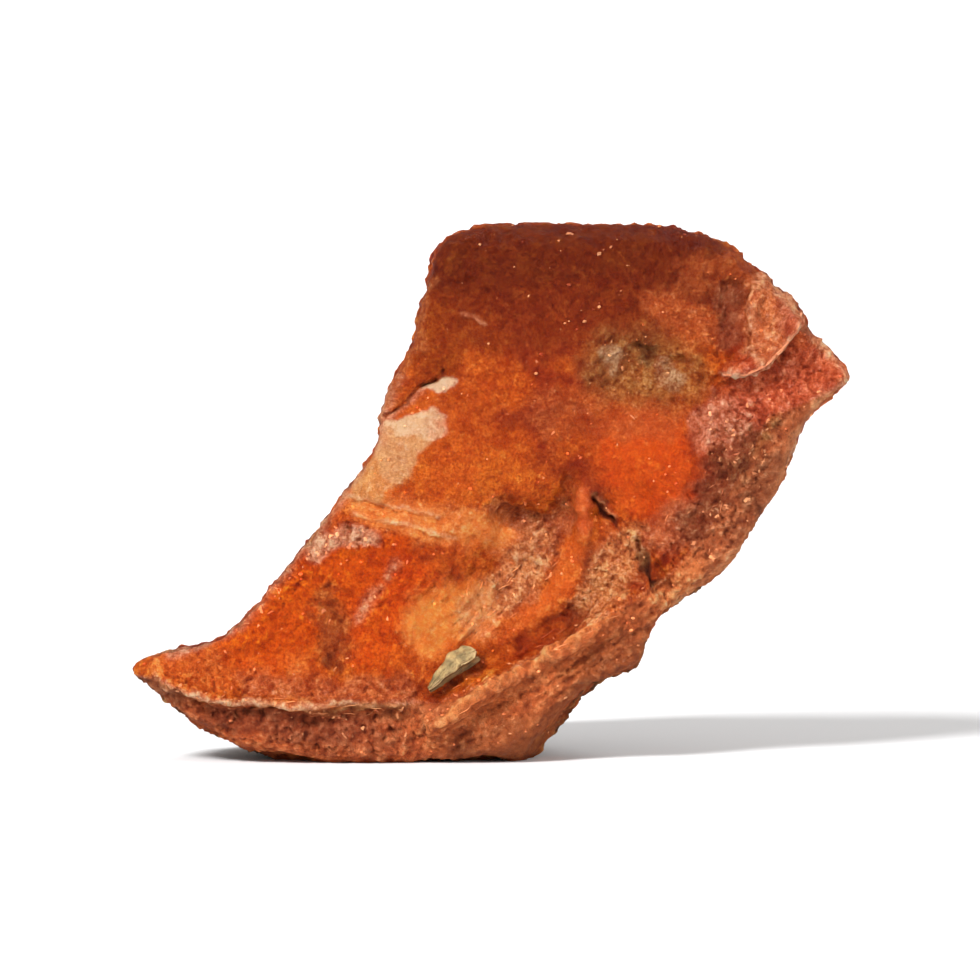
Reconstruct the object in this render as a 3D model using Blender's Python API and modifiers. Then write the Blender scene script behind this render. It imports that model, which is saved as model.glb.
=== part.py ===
"""One dried piece of bael fruit: a chunk cut from the fruit, with its woody rind on.

The piece stands on its rind. Its long cut face looks to -Y, the horn of the rind points
to -X, and the rind wraps the underside and the back. Behind the thin left edge and behind
the broken top edge are two more cut faces, which meet the rind at the back.

The smooth body is a sphere's net of rings, laid out from the middle of the cut face to its
rim, round the lip of the rind and over the back. It is then meshed evenly, and hollows,
lips, seeds and wrinkles press its skin in or lift it. Tables are in millimetres, and the
solid is in metres.
"""

import math

import bmesh
import bpy
import numpy as np
from mathutils import Vector, noise

MM = 0.001
NODE = "bael_piece"

# The whole piece, in millimetres.
BACK_DEPTH = 17.5  # from the cut face to the back of the rind
FLAT_CUT = 1.2  # how much of the rind's low side is worn flat, where the piece rests
EDGE_THICKNESS = 1.5  # of the flesh along the thin left edge
TOP_THICKNESS = 2.4  # of the broken edge at the top
LEFT_CUT_SLOPE = 2.1  # depth gained for each millimetre in from the left edge
TOP_CUT_SLOPE = 0.85  # the same, down from the top edge
CUT_BLEND = 0.5  # how softly two faces meet

# The net of rings, and the even mesh made from it.
SEGMENTS = 480
FACE_RINGS = 40
LIP_RINGS = 20
BACK_RINGS = 120
EVEN_MESH = 0.25
FACE_CENTRE = np.array((-3.0, 8.0))
BACK_CENTRE = np.array((-1.0, 10.5))
TARGET_TRIANGLES = 9600

# The outline seen from the front, against the clock from the tip of the horn. Each row has
# x, z, how deep behind the cut face the widest line lies, how far inside it the rim is,
# and how the back leaves it: 0.5 is square, and 1 is a slope.
HORN = (
    (-19.8, 5.6, 1.2, 0.3, 0.7),
    (-18.4, 4.2, 2.4, 0.5, 0.6),
    (-16.3, 2.2, 4.4, 1.0, 0.5),
)
RIND_ON_FLOOR = (
    (-13.4, 0.6, 6.2, 1.6, 0.5),
    (-9.6, -0.5, 7.4, 2.1, 0.5),
    (-5.4, -0.9, 7.8, 2.3, 0.5),
    (-1.6, -0.7, 7.4, 2.2, 0.5),
    (1.9, 0.1, 6.8, 1.9, 0.5),
    (3.6, 2.0, 5.6, 1.5, 0.55),
)
RIND_ON_RIGHT = (
    (5.4, 3.9, 4.4, 1.2, 0.6),
    (8.3, 5.1, 3.8, 1.1, 0.65),
    (9.0, 6.9, 3.4, 1.0, 0.75),
    (10.1, 8.8, 3.2, 1.0, 0.85),
    (12.9, 10.8, 3.0, 0.9, 1.0),
    (15.0, 13.6, 2.8, 0.8, 1.0),
    (16.3, 16.3, 2.6, 0.7, 1.0),
    (16.9, 18.3, 2.4, 0.7, 1.0),
    (18.1, 19.9, 2.0, 0.8, 1.0),
    (19.7, 21.5, 1.6, 0.8, 1.0),
)
BROKEN_TOP = (
    (18.0, 23.5, 1.6, 0.7, 1.0),
    (16.6, 25.5, 2.0, 0.9, 1.0),
    (15.1, 27.0, 2.2, 1.3, 1.0),
    (12.4, 29.0, 2.4, 1.7, 1.0),
    (8.6, 29.8, 2.6, 2.1, 1.0),
    (3.6, 29.8, 2.6, 2.1, 0.8),
    (-0.6, 29.7, 2.2, 1.6, 0.8),
    (-2.7, 28.9, 1.4, 0.7, 0.7),
)
THIN_LEFT_EDGE = (
    (-3.6, 26.6, 1.0, 0.3, 0.6),
    (-4.4, 23.3, 0.9, 0.3, 0.6),
    (-5.9, 20.4, 0.9, 0.3, 0.6),
    (-6.3, 17.6, 0.9, 0.3, 0.6),
    (-8.3, 14.7, 0.9, 0.3, 0.6),
    (-11.4, 10.8, 0.9, 0.3, 0.6),
    (-13.7, 8.1, 0.9, 0.3, 0.6),
    (-15.3, 6.9, 0.9, 0.3, 0.6),
    (-17.8, 6.4, 0.9, 0.3, 0.6),
)
OUTLINE = HORN + RIND_ON_FLOOR + RIND_ON_RIGHT + BROKEN_TOP + THIN_LEFT_EDGE

# The lines that the hidden cuts start from, and where the outline is rind.
LEFT_CUT_LINE = THIN_LEFT_EDGE + HORN[:1]
TOP_CUT_LINE = RIND_ON_RIGHT[-3:] + BROKEN_TOP
RIND_LINE = HORN + RIND_ON_FLOOR + RIND_ON_RIGHT

# Strokes on the cut face: points (x, z), half width, and depth. A positive depth is a
# hollow, and a negative one stands proud.
FACE_STROKES = {
    "lip of the rind, low left": (((-17.8, 4.8), (-14.0, 3.6), (-9.6, 3.4), (-4.6, 3.6)), 0.6, -0.75),
    "lip of the rind, low right": (((-3.6, 2.5), (-0.4, 4.4), (3.4, 6.4), (6.4, 8.2), (8.4, 9.6)), 0.8, -1.1),
    "step between the two lips": (((-4.2, 3.8), (-3.8, 1.4)), 0.6, 0.6),
    "groove above the right lip": (((0.8, 6.3), (3.8, 7.8), (6.6, 9.6)), 0.7, 1.0),
    "seed hollow": (((1.0, 14.0), (2.4, 13.6), (3.8, 13.9)), 0.8, 1.1),
    "arm of the seed hollow": (((4.0, 14.4), (4.3, 16.0)), 0.5, 0.7),
    "pit": (((5.9, 14.7), (6.7, 13.9)), 0.4, 1.0),
    "tongue beside the pit": (((5.0, 15.2), (5.1, 12.9)), 0.5, -0.5),
    "crevice by the rind": (((8.2, 12.6), (8.6, 11.4), (9.4, 9.9)), 0.45, 1.4),
    "slit at the thin edge": (((-5.3, 19.4), (-4.0, 20.8), (-2.6, 22.0)), 0.35, 0.6),
    "crease under the pale patch": (((-8.0, 15.0), (-5.2, 14.6), (-2.6, 13.9)), 0.35, 0.5),
    "edge of the right flap": (((13.0, 21.8), (15.0, 22.3), (16.3, 23.7), (16.7, 25.0)), 0.55, -0.8),
    "step left of the flap": (((13.1, 26.0), (12.9, 24.4), (13.3, 23.2)), 0.7, 0.7),
    "hollow right of the flap": (((16.6, 21.4), (18.0, 22.4)), 1.2, 0.6),
    "fold down the right side": (((12.4, 19.6), (13.6, 16.8), (13.0, 14.2)), 0.8, -0.5),
    "seed husk": (((-3.0, 4.9), (-2.0, 5.8), (-0.9, 6.4)), 0.5, -0.5),
    "shadow under the husk": (((-2.8, 4.3), (-1.4, 5.2), (-0.1, 6.0)), 0.4, 0.5),
}

# Broad swells and hollows of the cut face: centre (x, z), the two half sizes, turn in
# degrees, and depth.
FACE_SWELLS = {
    "belly of the pulp": ((-4.5, 12.0), (7.0, 3.4), 52.0, -0.9),
    "hollow toward the horn": ((-9.5, 7.0), (6.0, 2.4), 30.0, 0.6),
    "hollow in the middle": ((1.0, 9.6), (5.0, 3.0), 40.0, 1.1),
    "shoulder": ((2.5, 22.5), (6.0, 5.5), 0.0, -1.0),
    "dried gum hollow": ((8.4, 21.6), (3.6, 2.2), 0.0, 0.7),
    "cheek beside the crevice": ((9.6, 16.2), (2.6, 2.2), 0.0, -0.8),
}

# Strokes on the back, placed as (x, z) seen through the piece from the front. The sockets
# are on the left cut face, with a seed lying in each.
SEED_SOCKETS = (
    ((-1.9, 22.6), (-0.4, 18.8)),
    ((-5.1, 14.6), (-2.4, 12.7)),
    ((-9.2, 8.6), (-6.4, 7.0)),
)
SOCKET_HALF_WIDTH = 2.2
SOCKET_DEPTH = 1.3
SEED_HALF_WIDTH = 1.5
SEED_RISE = 1.5
BACK_STROKES = {
    "furrow low on the rind": (((-8.0, 3.0), (-2.0, 3.6), (5.0, 6.2), (9.0, 10.6)), 0.8, 0.5),
    "furrow across the rind": (((4.0, 9.6), (8.6, 12.4), (11.6, 17.2)), 0.8, 0.6),
    "fold of the rind": (((3.0, 6.8), (7.6, 9.8), (11.6, 14.4)), 1.2, -0.6),
    "crack in the top cut": (((0.6, 26.4), (4.0, 23.6), (8.0, 22.2)), 0.55, 1.1),
    "knob on the top cut": (((9.6, 24.8), (12.6, 22.8)), 1.6, -1.0),
}

# Roughness of the skins: each pair is a wavelength and a height.
RIND_SWELLS = ((9.0, 0.55), (4.4, 0.3))
RIND_WRINKLES = ((4.2, 0.5), (2.3, 0.28))
PULP_SWELLS = ((6.5, 0.34), (2.0, 0.16))
TORN_SWELLS = ((8.0, 1.5), (3.2, 0.55))
WANDER = (4.5, 0.4)  # how far drawn lines stray from straight
UNEVEN = (2.4, 0.8)  # and how much deeper or shallower they are by turns
NOISE_SEED = 7  # so that the lines stray the same way each time


def smoothstep(low, high, value):
    t = np.clip((value - low) / (high - low), 0.0, 1.0)
    return t * t * (3.0 - 2.0 * t)


def soft_min(first, second, blend):
    low = np.minimum(first, second)
    return low - blend * np.log1p(np.exp(-np.abs(first - second) / blend))


def closed_spline(rows, count):
    """count rows, evenly spaced by length, on a smooth closed curve through rows."""
    rows = np.asarray(rows, float)
    before, after = np.roll(rows, 1, axis=0), np.roll(rows, -1, axis=0)
    later = np.roll(rows, -2, axis=0)
    fine = []
    for t in np.arange(0.0, 1.0, 0.05):
        fine.append(
            0.5
            * (
                2 * rows
                + (after - before) * t
                + (2 * before - 5 * rows + 4 * after - later) * t**2
                + (3 * rows - before - 3 * after + later) * t**3
            )
        )
    curve = np.stack(fine, axis=1).reshape(-1, rows.shape[1])
    curve = np.vstack([curve, curve[:1]])
    steps = np.linalg.norm(np.diff(curve[:, :2], axis=0), axis=1)
    length = np.concatenate([[0.0], np.cumsum(steps)])
    wanted = np.arange(count) / count * length[-1]
    return np.stack([np.interp(wanted, length, column) for column in curve.T], axis=1)


def distance_to(points, line):
    """How far each point (x, z) is from a line of straight runs."""
    line = np.asarray(line, float)
    best = np.full(len(points), np.inf)
    for start, end in zip(line[:-1], line[1:]):
        run = end - start
        along = np.clip((points - start) @ run / (run @ run), 0.0, 1.0)
        off = points - start - along[:, None] * run
        best = np.minimum(best, np.hypot(off[:, 0], off[:, 1]))
    return best


def wander(points):
    """The points moved about a little, so that a line drawn through them strays."""
    length, far = WANDER
    strays = [noise.noise_vector(Vector((x, 7.0, z)) / length) for x, z in points]
    return points + far * np.array([(s.x, s.z) for s in strays]).reshape(-1, 2)


def uneven(points):
    """A factor about 1 that varies from place to place."""
    length, amount = UNEVEN
    return 1 + amount * np.array([noise.noise(Vector((x, 3.0, z)) / length) for x, z in points])


def stroke(points, line, half_width, depth):
    return depth * np.exp(-((distance_to(points, line) / half_width) ** 2))


def seed(points, line):
    """The rounded top of a seed that lies along the line."""
    return SEED_RISE * np.clip(1 - (distance_to(points, line) / SEED_HALF_WIDTH) ** 2, 0, 1) ** 0.8


def swell(points, centre, half_sizes, turn, depth):
    c, s = math.cos(math.radians(turn)), math.sin(math.radians(turn))
    off = points - np.asarray(centre)
    u = (off[:, 0] * c + off[:, 1] * s) / half_sizes[0]
    v = (off[:, 1] * c - off[:, 0] * s) / half_sizes[1]
    return depth * np.exp(-(u * u + v * v))


def face_relief(points):
    """How far the cut face is pressed in at each (x, z)."""
    points = wander(points)
    depth = np.zeros(len(points))
    for line, half_width, amount in FACE_STROKES.values():
        depth += stroke(points, line, half_width, amount)
    depth *= uneven(points)
    for centre, half_sizes, turn, amount in FACE_SWELLS.values():
        depth += swell(points, centre, half_sizes, turn, amount)
    return depth


def back_relief(points):
    """How far the back is pressed in at each (x, z)."""
    depth = np.zeros(len(points))
    for line in SEED_SOCKETS:
        depth += stroke(points, line, SOCKET_HALF_WIDTH, SOCKET_DEPTH)
        depth -= seed(points, line)
    points = wander(points)
    for line, half_width, amount in BACK_STROKES.values():
        depth += stroke(points, line, half_width, amount)
    return depth


def hidden_cuts(points):
    """How deep the nearer of the two hidden cut faces lies behind each (x, z)."""
    left = EDGE_THICKNESS + LEFT_CUT_SLOPE * distance_to(points, np.array(LEFT_CUT_LINE)[:, :2])
    top = TOP_THICKNESS + TOP_CUT_SLOPE * distance_to(points, np.array(TOP_CUT_LINE)[:, :2])
    return soft_min(left, top, CUT_BLEND)


def body_positions(ring, segment):
    """Place (x, y, z) on the smooth body of each point of the net."""
    outline = closed_spline(OUTLINE, SEGMENTS)
    edge = outline[:, :2]
    tangent = np.roll(edge, -1, axis=0) - np.roll(edge, 1, axis=0)
    tangent /= np.linalg.norm(tangent, axis=1)[:, None]
    inward = np.stack([-tangent[:, 1], tangent[:, 0]], axis=1)
    rim = edge + inward * outline[:, 3:4]
    edge, rim, widest = edge[segment], rim[segment], outline[segment, 2]
    rise = outline[segment, 4]
    flat = np.zeros((len(ring), 2))
    depth = np.zeros(len(ring))

    face = ring <= FACE_RINGS
    share = (ring[face] / FACE_RINGS)[:, None]
    flat[face] = FACE_CENTRE + (rim[face] - FACE_CENTRE) * share

    lip = (ring > FACE_RINGS) & (ring <= FACE_RINGS + LIP_RINGS)
    turn = (ring[lip] - FACE_RINGS) / LIP_RINGS * math.pi / 2
    flat[lip] = rim[lip] + (edge[lip] - rim[lip]) * np.sin(turn)[:, None]
    depth[lip] = widest[lip] * (1 - np.cos(turn))

    back = ring > FACE_RINGS + LIP_RINGS
    turn = (ring[back] - FACE_RINGS - LIP_RINGS) / BACK_RINGS * math.pi / 2
    centre = FACE_CENTRE + (BACK_CENTRE - FACE_CENTRE) * np.sin(turn)[:, None]
    flat[back] = centre + (edge[back] - centre) * np.cos(turn)[:, None]
    climb = np.sin(turn) ** (2 * rise[back])
    dome = widest[back] + (BACK_DEPTH - widest[back]) * climb
    depth[back] = soft_min(dome, hidden_cuts(flat[back]), CUT_BLEND)
    return np.stack([flat[:, 0], depth, flat[:, 1]], axis=1)


def swells(place, waves):
    """Height of a lumpy skin at a place, from noise of each wavelength."""
    return sum(height * noise.noise(Vector(place) / length) for length, height in waves)


def wrinkles(place, waves):
    """Depth of the narrow creases of a wrinkled skin at a place."""
    return sum(height * max(0.0, 1 - 4 * abs(noise.noise(Vector(place) / length))) for length, height in waves)


def read(mesh, name):
    values = np.empty(len(mesh.vertices) * 3)
    mesh.vertices.foreach_get(name, values)
    return values.reshape(-1, 3)


def move(mesh, places):
    mesh.vertices.foreach_set("co", places.ravel())
    mesh.update()


def shape_body(mesh):
    """Moves the points of a unit sphere, whose poles are on Z, onto the smooth body."""
    co = read(mesh, "co")
    rings = FACE_RINGS + LIP_RINGS + BACK_RINGS
    ring = np.rint(np.arccos(np.clip(co[:, 2], -1, 1)) / math.pi * rings).astype(int)
    angle = np.arctan2(co[:, 1], co[:, 0])
    segment = np.rint(angle / (2 * math.pi) * SEGMENTS).astype(int) % SEGMENTS
    move(mesh, body_positions(ring, segment))


def rind_share(places):
    """How far each place is rind, from 0 to 1, how far torn, and how far from a sharp edge."""
    flat = places[:, [0, 2]]
    behind = smoothstep(0.4, 2.2, places[:, 1])
    above_cut = hidden_cuts(flat) - places[:, 1]
    cut_line = np.minimum(
        distance_to(flat, np.array(LEFT_CUT_LINE)[:, :2]), distance_to(flat, np.array(TOP_CUT_LINE)[:, :2])
    )
    near_rind = smoothstep(-0.8, 0.8, cut_line - distance_to(flat, np.array(RIND_LINE)[:, :2]))
    rind = behind * np.maximum(smoothstep(1.0, 2.0, above_cut), smoothstep(0.2, 1.0, above_cut) * near_rind)
    torn = smoothstep(2.0, 4.0, places[:, 1]) * (1 - rind)
    clear = smoothstep(0.0, 3.0, cut_line) * (1 - rind * smoothstep(2.5, 0.5, above_cut))
    return rind, torn, clear


def shape_skin(mesh):
    """Presses the hollows in and lifts the lips and seeds, then roughens the skin."""
    places, normals = read(mesh, "co"), read(mesh, "normal")
    flat = places[:, [0, 2]]
    rind, torn, clear = rind_share(places)
    to_front = smoothstep(0.25, 0.9, -normals[:, 1])
    to_back = smoothstep(0.1, 0.4, normals[:, 1])
    places[:, 1] += face_relief(flat) * to_front
    places -= normals * (back_relief(flat) * to_back)[:, None]
    move(mesh, places)
    lift = [
        share * (swells(spot, RIND_SWELLS) - wrinkles(spot, RIND_WRINKLES))
        + (1 - share) * swells(spot, PULP_SWELLS)
        + tear * swells(spot, TORN_SWELLS)
        for spot, share, tear in zip(places, rind, torn)
    ]
    lift = np.array(lift) * (0.3 + 0.7 * clear)
    move(mesh, places + read(mesh, "normal") * lift[:, None])


def put_in(collection, obj):
    for holder in list(obj.users_collection):
        holder.objects.unlink(obj)
    collection.objects.link(obj)


def clear_scene():
    for obj in list(bpy.data.objects):
        bpy.data.objects.remove(obj, do_unlink=True)


def apply_modifiers(obj):
    graph = bpy.context.evaluated_depsgraph_get()
    mesh = bpy.data.meshes.new_from_object(obj.evaluated_get(graph))
    obj.modifiers.clear()
    obj.data = mesh
    mesh.name = NODE


def mesh_evenly(obj):
    """Replaces the net with a mesh of small even faces over the same body."""
    even = obj.modifiers.new("even", "REMESH")
    even.mode = "VOXEL"
    even.voxel_size = EVEN_MESH
    relax = obj.modifiers.new("relax", "SMOOTH")
    relax.factor = 0.5
    relax.iterations = 5
    apply_modifiers(obj)


def thin_out(obj, triangles):
    """Collapses the mesh to about that many triangles, most of them where it bends."""
    obj.data.calc_loop_triangles()
    thin = obj.modifiers.new("thin", "DECIMATE")
    thin.ratio = triangles / len(obj.data.loop_triangles)
    thin.use_collapse_triangulate = True
    apply_modifiers(obj)


def floor_block(piece, cutters):
    """A block whose top is level, a little above the lowest place of the rind."""
    lowest = read(piece.data, "co")[:, 2].min()
    size = 60.0 * MM
    top = lowest + FLAT_CUT * MM
    bpy.ops.mesh.primitive_cube_add(size=size, location=(0, 0, top - size / 2))
    block = bpy.context.object
    block.name = "floor_block"
    block.hide_render = True
    block.display_type = "WIRE"
    put_in(cutters, block)
    return block


def cut_flat_spot(piece, block):
    """Takes off the low side of the rind, and leaves every face a triangle."""
    cut = piece.modifiers.new("flat_spot", "BOOLEAN")
    cut.operation = "DIFFERENCE"
    cut.solver = "EXACT"
    cut.object = block
    apply_modifiers(piece)
    shell = bmesh.new()
    shell.from_mesh(piece.data)
    bmesh.ops.triangulate(shell, faces=shell.faces[:])
    shell.to_mesh(piece.data)
    shell.free()


def rest_on_origin(piece, block):
    """Centres the piece over the origin, with its flat spot at z = 0."""
    places = read(piece.data, "co")
    low, high = places.min(axis=0), places.max(axis=0)
    base = np.array(((low[0] + high[0]) / 2, (low[1] + high[1]) / 2, low[2]))
    move(piece.data, places - base)
    block.location -= Vector(base)


def dried_bael():
    """Red-brown dried fruit, with a dull gloss from its gum."""
    material = bpy.data.materials.new("dried_bael")
    material.use_nodes = True
    shader = material.node_tree.nodes["Principled BSDF"]
    shader.inputs["Base Color"].default_value = (0.42, 0.10, 0.022, 1.0)
    shader.inputs["Roughness"].default_value = 0.55
    shader.inputs["Metallic"].default_value = 0.0
    return material


def build_piece(cutters):
    bpy.ops.mesh.primitive_uv_sphere_add(
        segments=SEGMENTS, ring_count=FACE_RINGS + LIP_RINGS + BACK_RINGS, radius=1.0
    )
    piece = bpy.context.object
    piece.name = NODE
    shape_body(piece.data)
    mesh_evenly(piece)
    shape_skin(piece.data)
    thin_out(piece, TARGET_TRIANGLES)
    move(piece.data, read(piece.data, "co") * MM)
    block = floor_block(piece, cutters)
    cut_flat_spot(piece, block)
    rest_on_origin(piece, block)
    piece.data.materials.append(dried_bael())
    piece.data.shade_smooth()
    piece.data.set_sharp_from_angle(angle=math.radians(50))
    return piece


def main():
    clear_scene()
    noise.seed_set(NOISE_SEED)
    collection = bpy.data.collections.new("dried_bael_piece")
    cutters = bpy.data.collections.new("cutters")
    bpy.context.scene.collection.children.link(collection)
    bpy.context.scene.collection.children.link(cutters)
    put_in(collection, build_piece(cutters))


main()
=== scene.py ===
"""Looks of one dried piece of bael fruit: gummy orange flesh, woody rind, seeds and shreds.

The body is a copy of the solid, meshed finely, with its skin worked over: grain, fibres,
broken crystal and wrinkles. Its colours are painted on the mesh, patch by patch, and the
materials add what is finer. Small pieces lie on it: seeds, flakes, strands, chips and crumbs.
Places are in millimetres, (x, z) as seen from the front, unless said otherwise.
"""

import math
import random

import bpy
import numpy as np
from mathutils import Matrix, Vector, noise
from mathutils.bvhtree import BVHTree
from mathutils.kdtree import KDTree


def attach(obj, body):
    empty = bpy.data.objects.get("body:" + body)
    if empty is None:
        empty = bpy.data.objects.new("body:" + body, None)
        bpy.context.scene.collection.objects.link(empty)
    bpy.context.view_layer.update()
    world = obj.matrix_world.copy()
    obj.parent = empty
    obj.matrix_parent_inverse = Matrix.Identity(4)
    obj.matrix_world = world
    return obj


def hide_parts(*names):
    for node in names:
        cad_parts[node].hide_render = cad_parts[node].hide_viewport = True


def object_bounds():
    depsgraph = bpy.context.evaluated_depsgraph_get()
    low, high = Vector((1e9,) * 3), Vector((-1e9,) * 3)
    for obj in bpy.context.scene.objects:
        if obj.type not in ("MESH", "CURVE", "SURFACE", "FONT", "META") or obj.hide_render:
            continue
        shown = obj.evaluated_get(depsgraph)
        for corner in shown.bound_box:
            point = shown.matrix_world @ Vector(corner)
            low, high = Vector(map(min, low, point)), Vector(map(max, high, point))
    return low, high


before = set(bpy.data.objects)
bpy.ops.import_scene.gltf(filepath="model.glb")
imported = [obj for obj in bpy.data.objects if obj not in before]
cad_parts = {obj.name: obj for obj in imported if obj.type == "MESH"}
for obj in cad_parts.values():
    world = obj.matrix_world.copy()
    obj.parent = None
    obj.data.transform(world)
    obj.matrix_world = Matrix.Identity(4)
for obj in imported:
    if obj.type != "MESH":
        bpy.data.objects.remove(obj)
cad_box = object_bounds()

MM = 0.001
NODE = "bael_piece"

# The solid's own places: where its outline's zero lies, and the lines its cut faces start from.
DROP = 0.25  # of the outline's zero below the floor
FACE_Y = -7.95  # where the cut face lies, before its relief
EDGE_THICKNESS = 1.5
TOP_THICKNESS = 2.4
LEFT_CUT_SLOPE = 2.1
TOP_CUT_SLOPE = 0.85
WANDER = (4.5, 0.4)  # over what length the drawn lines stray, and how far
NOISE_SEED = 7  # as for the solid, so that the lines stray as its own do
THIN_LEFT_EDGE = (
    (-3.6, 26.6),
    (-4.4, 23.3),
    (-5.9, 20.4),
    (-6.3, 17.6),
    (-8.3, 14.7),
    (-11.4, 10.8),
    (-13.7, 8.1),
    (-15.3, 6.9),
    (-17.8, 6.4),
    (-19.8, 5.6),
)
BROKEN_TOP = (
    (16.9, 18.3),
    (18.1, 19.9),
    (19.7, 21.5),
    (18.0, 23.5),
    (16.6, 25.5),
    (15.1, 27.0),
    (12.4, 29.0),
    (8.6, 29.8),
    (3.6, 29.8),
    (-0.6, 29.7),
    (-2.7, 28.9),
)
# The line along the inner margin of the rind, from the horn to the right corner.
RIM_LINE = (
    (-20.5, 5.0),
    (-18.4, 4.9),
    (-16.6, 4.1),
    (-14.0, 3.4),
    (-11.0, 3.2),
    (-7.4, 3.6),
    (-4.4, 3.7),
    (-2.6, 3.8),
    (-1.2, 4.3),
    (1.0, 5.3),
    (4.4, 6.9),
    (6.4, 8.2),
    (9.6, 10.4),
    (12.4, 13.6),
    (14.2, 17.0),
    (15.2, 19.4),
    (20.5, 21.3),
)
SEEDS = (
    ((-1.9, 22.6), (-0.4, 18.8)),
    ((-5.1, 14.6), (-2.4, 12.7)),
    ((-9.2, 8.6), (-6.4, 7.0)),
)
SOCKET_HALF_WIDTH = 1.85
SEED_HALF_WIDTH = 1.3
SEED_HALF_THICKNESS = 0.85
SEED_BLUNT = 2.7  # 2 would be a round end, and more is blunter
SEED_TAPER = 0.18  # how much of its width it loses from its middle to its far end
SEED_LONGER = 1.2  # than its line at each end
SEED_BEND = 0.25  # how far it follows the bends of its socket
SEED_PRESSED = 1.1  # how far the solid's seeds are pressed in, under the seed pieces
SEED_COLLAR = 0.26  # how high the flesh stands round them
COLLAR_FROM_SEED = 2.0
COLLAR_HALF_WIDTH = 0.4

# How finely the body is meshed: before the skin is worked, and how many triangles are kept.
BODY_VOXEL = 0.22
RELAX_ROUNDS = 3
FILL_ROUNDS = 160
BODY_TRIANGLES = 196000
RIND_THICKNESS = 2.1
LEDGE_WIDTH = 0.16
LEDGE_ENDS = 0.15  # over what share of its length a ledge rises at each end
EDGE_STRAY = 0.2  # how far edges stray from their lines
PATCH_STRAY = 0.5  # and patches of colour
RIND_TOP = 16.0  # how high the rind reaches behind
FLAT_BELOW = 0.06  # what lies lower than this rests on the floor
# The front: how far it faces forward and how deep it lies, how often those shares are relaxed,
# and what is then front, and the margin round it. Each pair goes from no share to a full one.
FRONT_FACING = (0.1, 0.4)
FRONT_DEPTH = (6.0, 3.0)
FRONT_ROUNDS = 60
FRONT_SHARE = (0.4, 0.65)
MARGIN_SHARE = (0.1, 0.5)
RIM_SOFTNESS = (0.25, -0.25)  # how far over the rim line
# The rind behind: how far it lies under both cuts, relaxed, and how far it is from the seeds.
BURIED_DEPTH = (0.8, 2.0)
BURIED_ROUNDS = 90
BURIED_SHARE = (0.3, 0.6)
CLEAR_OF_SEEDS = (3.2, 4.0)
STRAY_NOISE = (1.1, 3)  # its length and octaves
STRAY_SEEDS = (21.0, 27.0)
# The rind's plates and wrinkles: how far the plates are drawn out, the noise that bends their
# cracks, and the noises whose middle values are wrinkles.
PLATE_SIZE = 2.7
PLATE_STRETCH = (0.8, 1.0, 1.25)
PLATE_NOISE = (1.3, 3)
PLATE_SEEDS = (41.0, 43.0, 47.0)
CRACK_DEPTH = 0.16
CRACK_WIDTH = 0.12
WRINKLE_STRETCH = (0.75, 1.0, 1.5)
WRINKLES = ((1.5, 2, 81.0), (1.1, 2, 87.0))
WRINKLE_DEPTH = 0.13
WRINKLE_WIDTH = 0.08
# Fibres of the hidden cuts: length, thickness, turn from x and the noise's seed. Those that are
# raised have their height first.
CUT_STREAKS = ((0.16, 3.4, 0.8, 20.0, 4.0), (0.12, 1.8, 0.3, 34.0, 8.0))
CUT_FIBRES = ((3.0, 0.5, 20.0, 4.0), (1.8, 0.3, 34.0, 8.0))
FIBRE_PAINT = 0.8
# What a material reads as hollow: over how many rounds its surroundings are taken, and how far
# below them counts as fully hollow.
HOLLOWS = {"hollow": (4, 0.06), "deep": (60, 0.4)}

# Lines on the front that more than one table follows.
FLAP_EDGE = ((12.8, 21.7), (13.9, 21.6), (15.0, 22.1), (15.9, 22.9), (16.6, 23.8), (17.0, 25.0))
SLIT = ((-5.35, 19.35), (-4.4, 20.4), (-3.5, 21.2), (-2.6, 22.0))
PALE_FIBRES = ((-0.8, 8.4), (1.6, 10.4), (3.0, 12.4))
SLAB_EDGE = (
    (-3.5, 2.4),
    (-2.4, 3.1),
    (-1.2, 3.9),
    (-0.25, 4.5),
    (1.0, 5.2),
    (2.6, 5.9),
    (4.4, 6.9),
    (6.4, 8.2),
)
# Fine strokes on the front: points (x, z), half width and height; a groove is below zero.
STROKES = {
    "under the low rim": (((-17.6, 4.0), (-14.0, 2.8), (-9.6, 2.7), (-5.4, 2.9)), 0.5, -0.4),
    "behind the slab": (((-1.6, 4.7), (1.2, 6.0), (3.6, 7.3), (6.2, 9.0)), 0.5, -0.25),
    "slit by the thin edge": (SLIT, 0.1, -0.22),
    "line down the right": (((11.6, 22.4), (11.4, 19.2), (10.9, 15.2)), 0.28, -0.14),
    "seed hollow": (((0.4, 14.1), (1.6, 13.7), (3.0, 13.5), (3.9, 13.9)), 0.5, -0.16),
    "arm of the seed hollow": (((4.0, 14.4), (4.3, 16.0)), 0.3, -0.14),
    "pit": (((5.75, 14.75), (6.25, 14.25), (6.8, 13.75)), 0.14, -0.4),
    "below the pit": (((6.0, 14.05), (6.3, 13.85)), 0.3, -0.25),
    "tongue": (((4.95, 15.2), (5.15, 12.95)), 0.36, 0.2),
    "crevice": (((8.2, 12.6), (8.6, 11.4), (9.4, 9.9)), 0.2, -0.25),
    "recess by the flap": (((13.1, 26.0), (12.9, 24.6), (13.3, 23.4)), 0.5, -0.1),
    "under the flap": (((13.4, 21.3), (15.2, 21.8), (16.4, 23.0), (17.1, 24.3)), 0.3, -0.3),
    "knot in the slit": (((-3.6, 21.1), (-3.2, 21.45)), 0.17, -0.3),
    "dark spot": (((-8.5, 6.1), (-8.3, 5.9)), 0.26, -0.25),
    "dent in the lobe": (((-9.2, 9.6), (-8.4, 7.8)), 0.6, -0.25),
    "middle of the olive patch": (((8.0, 23.0), (8.6, 22.7)), 0.35, -0.3),
}
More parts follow.
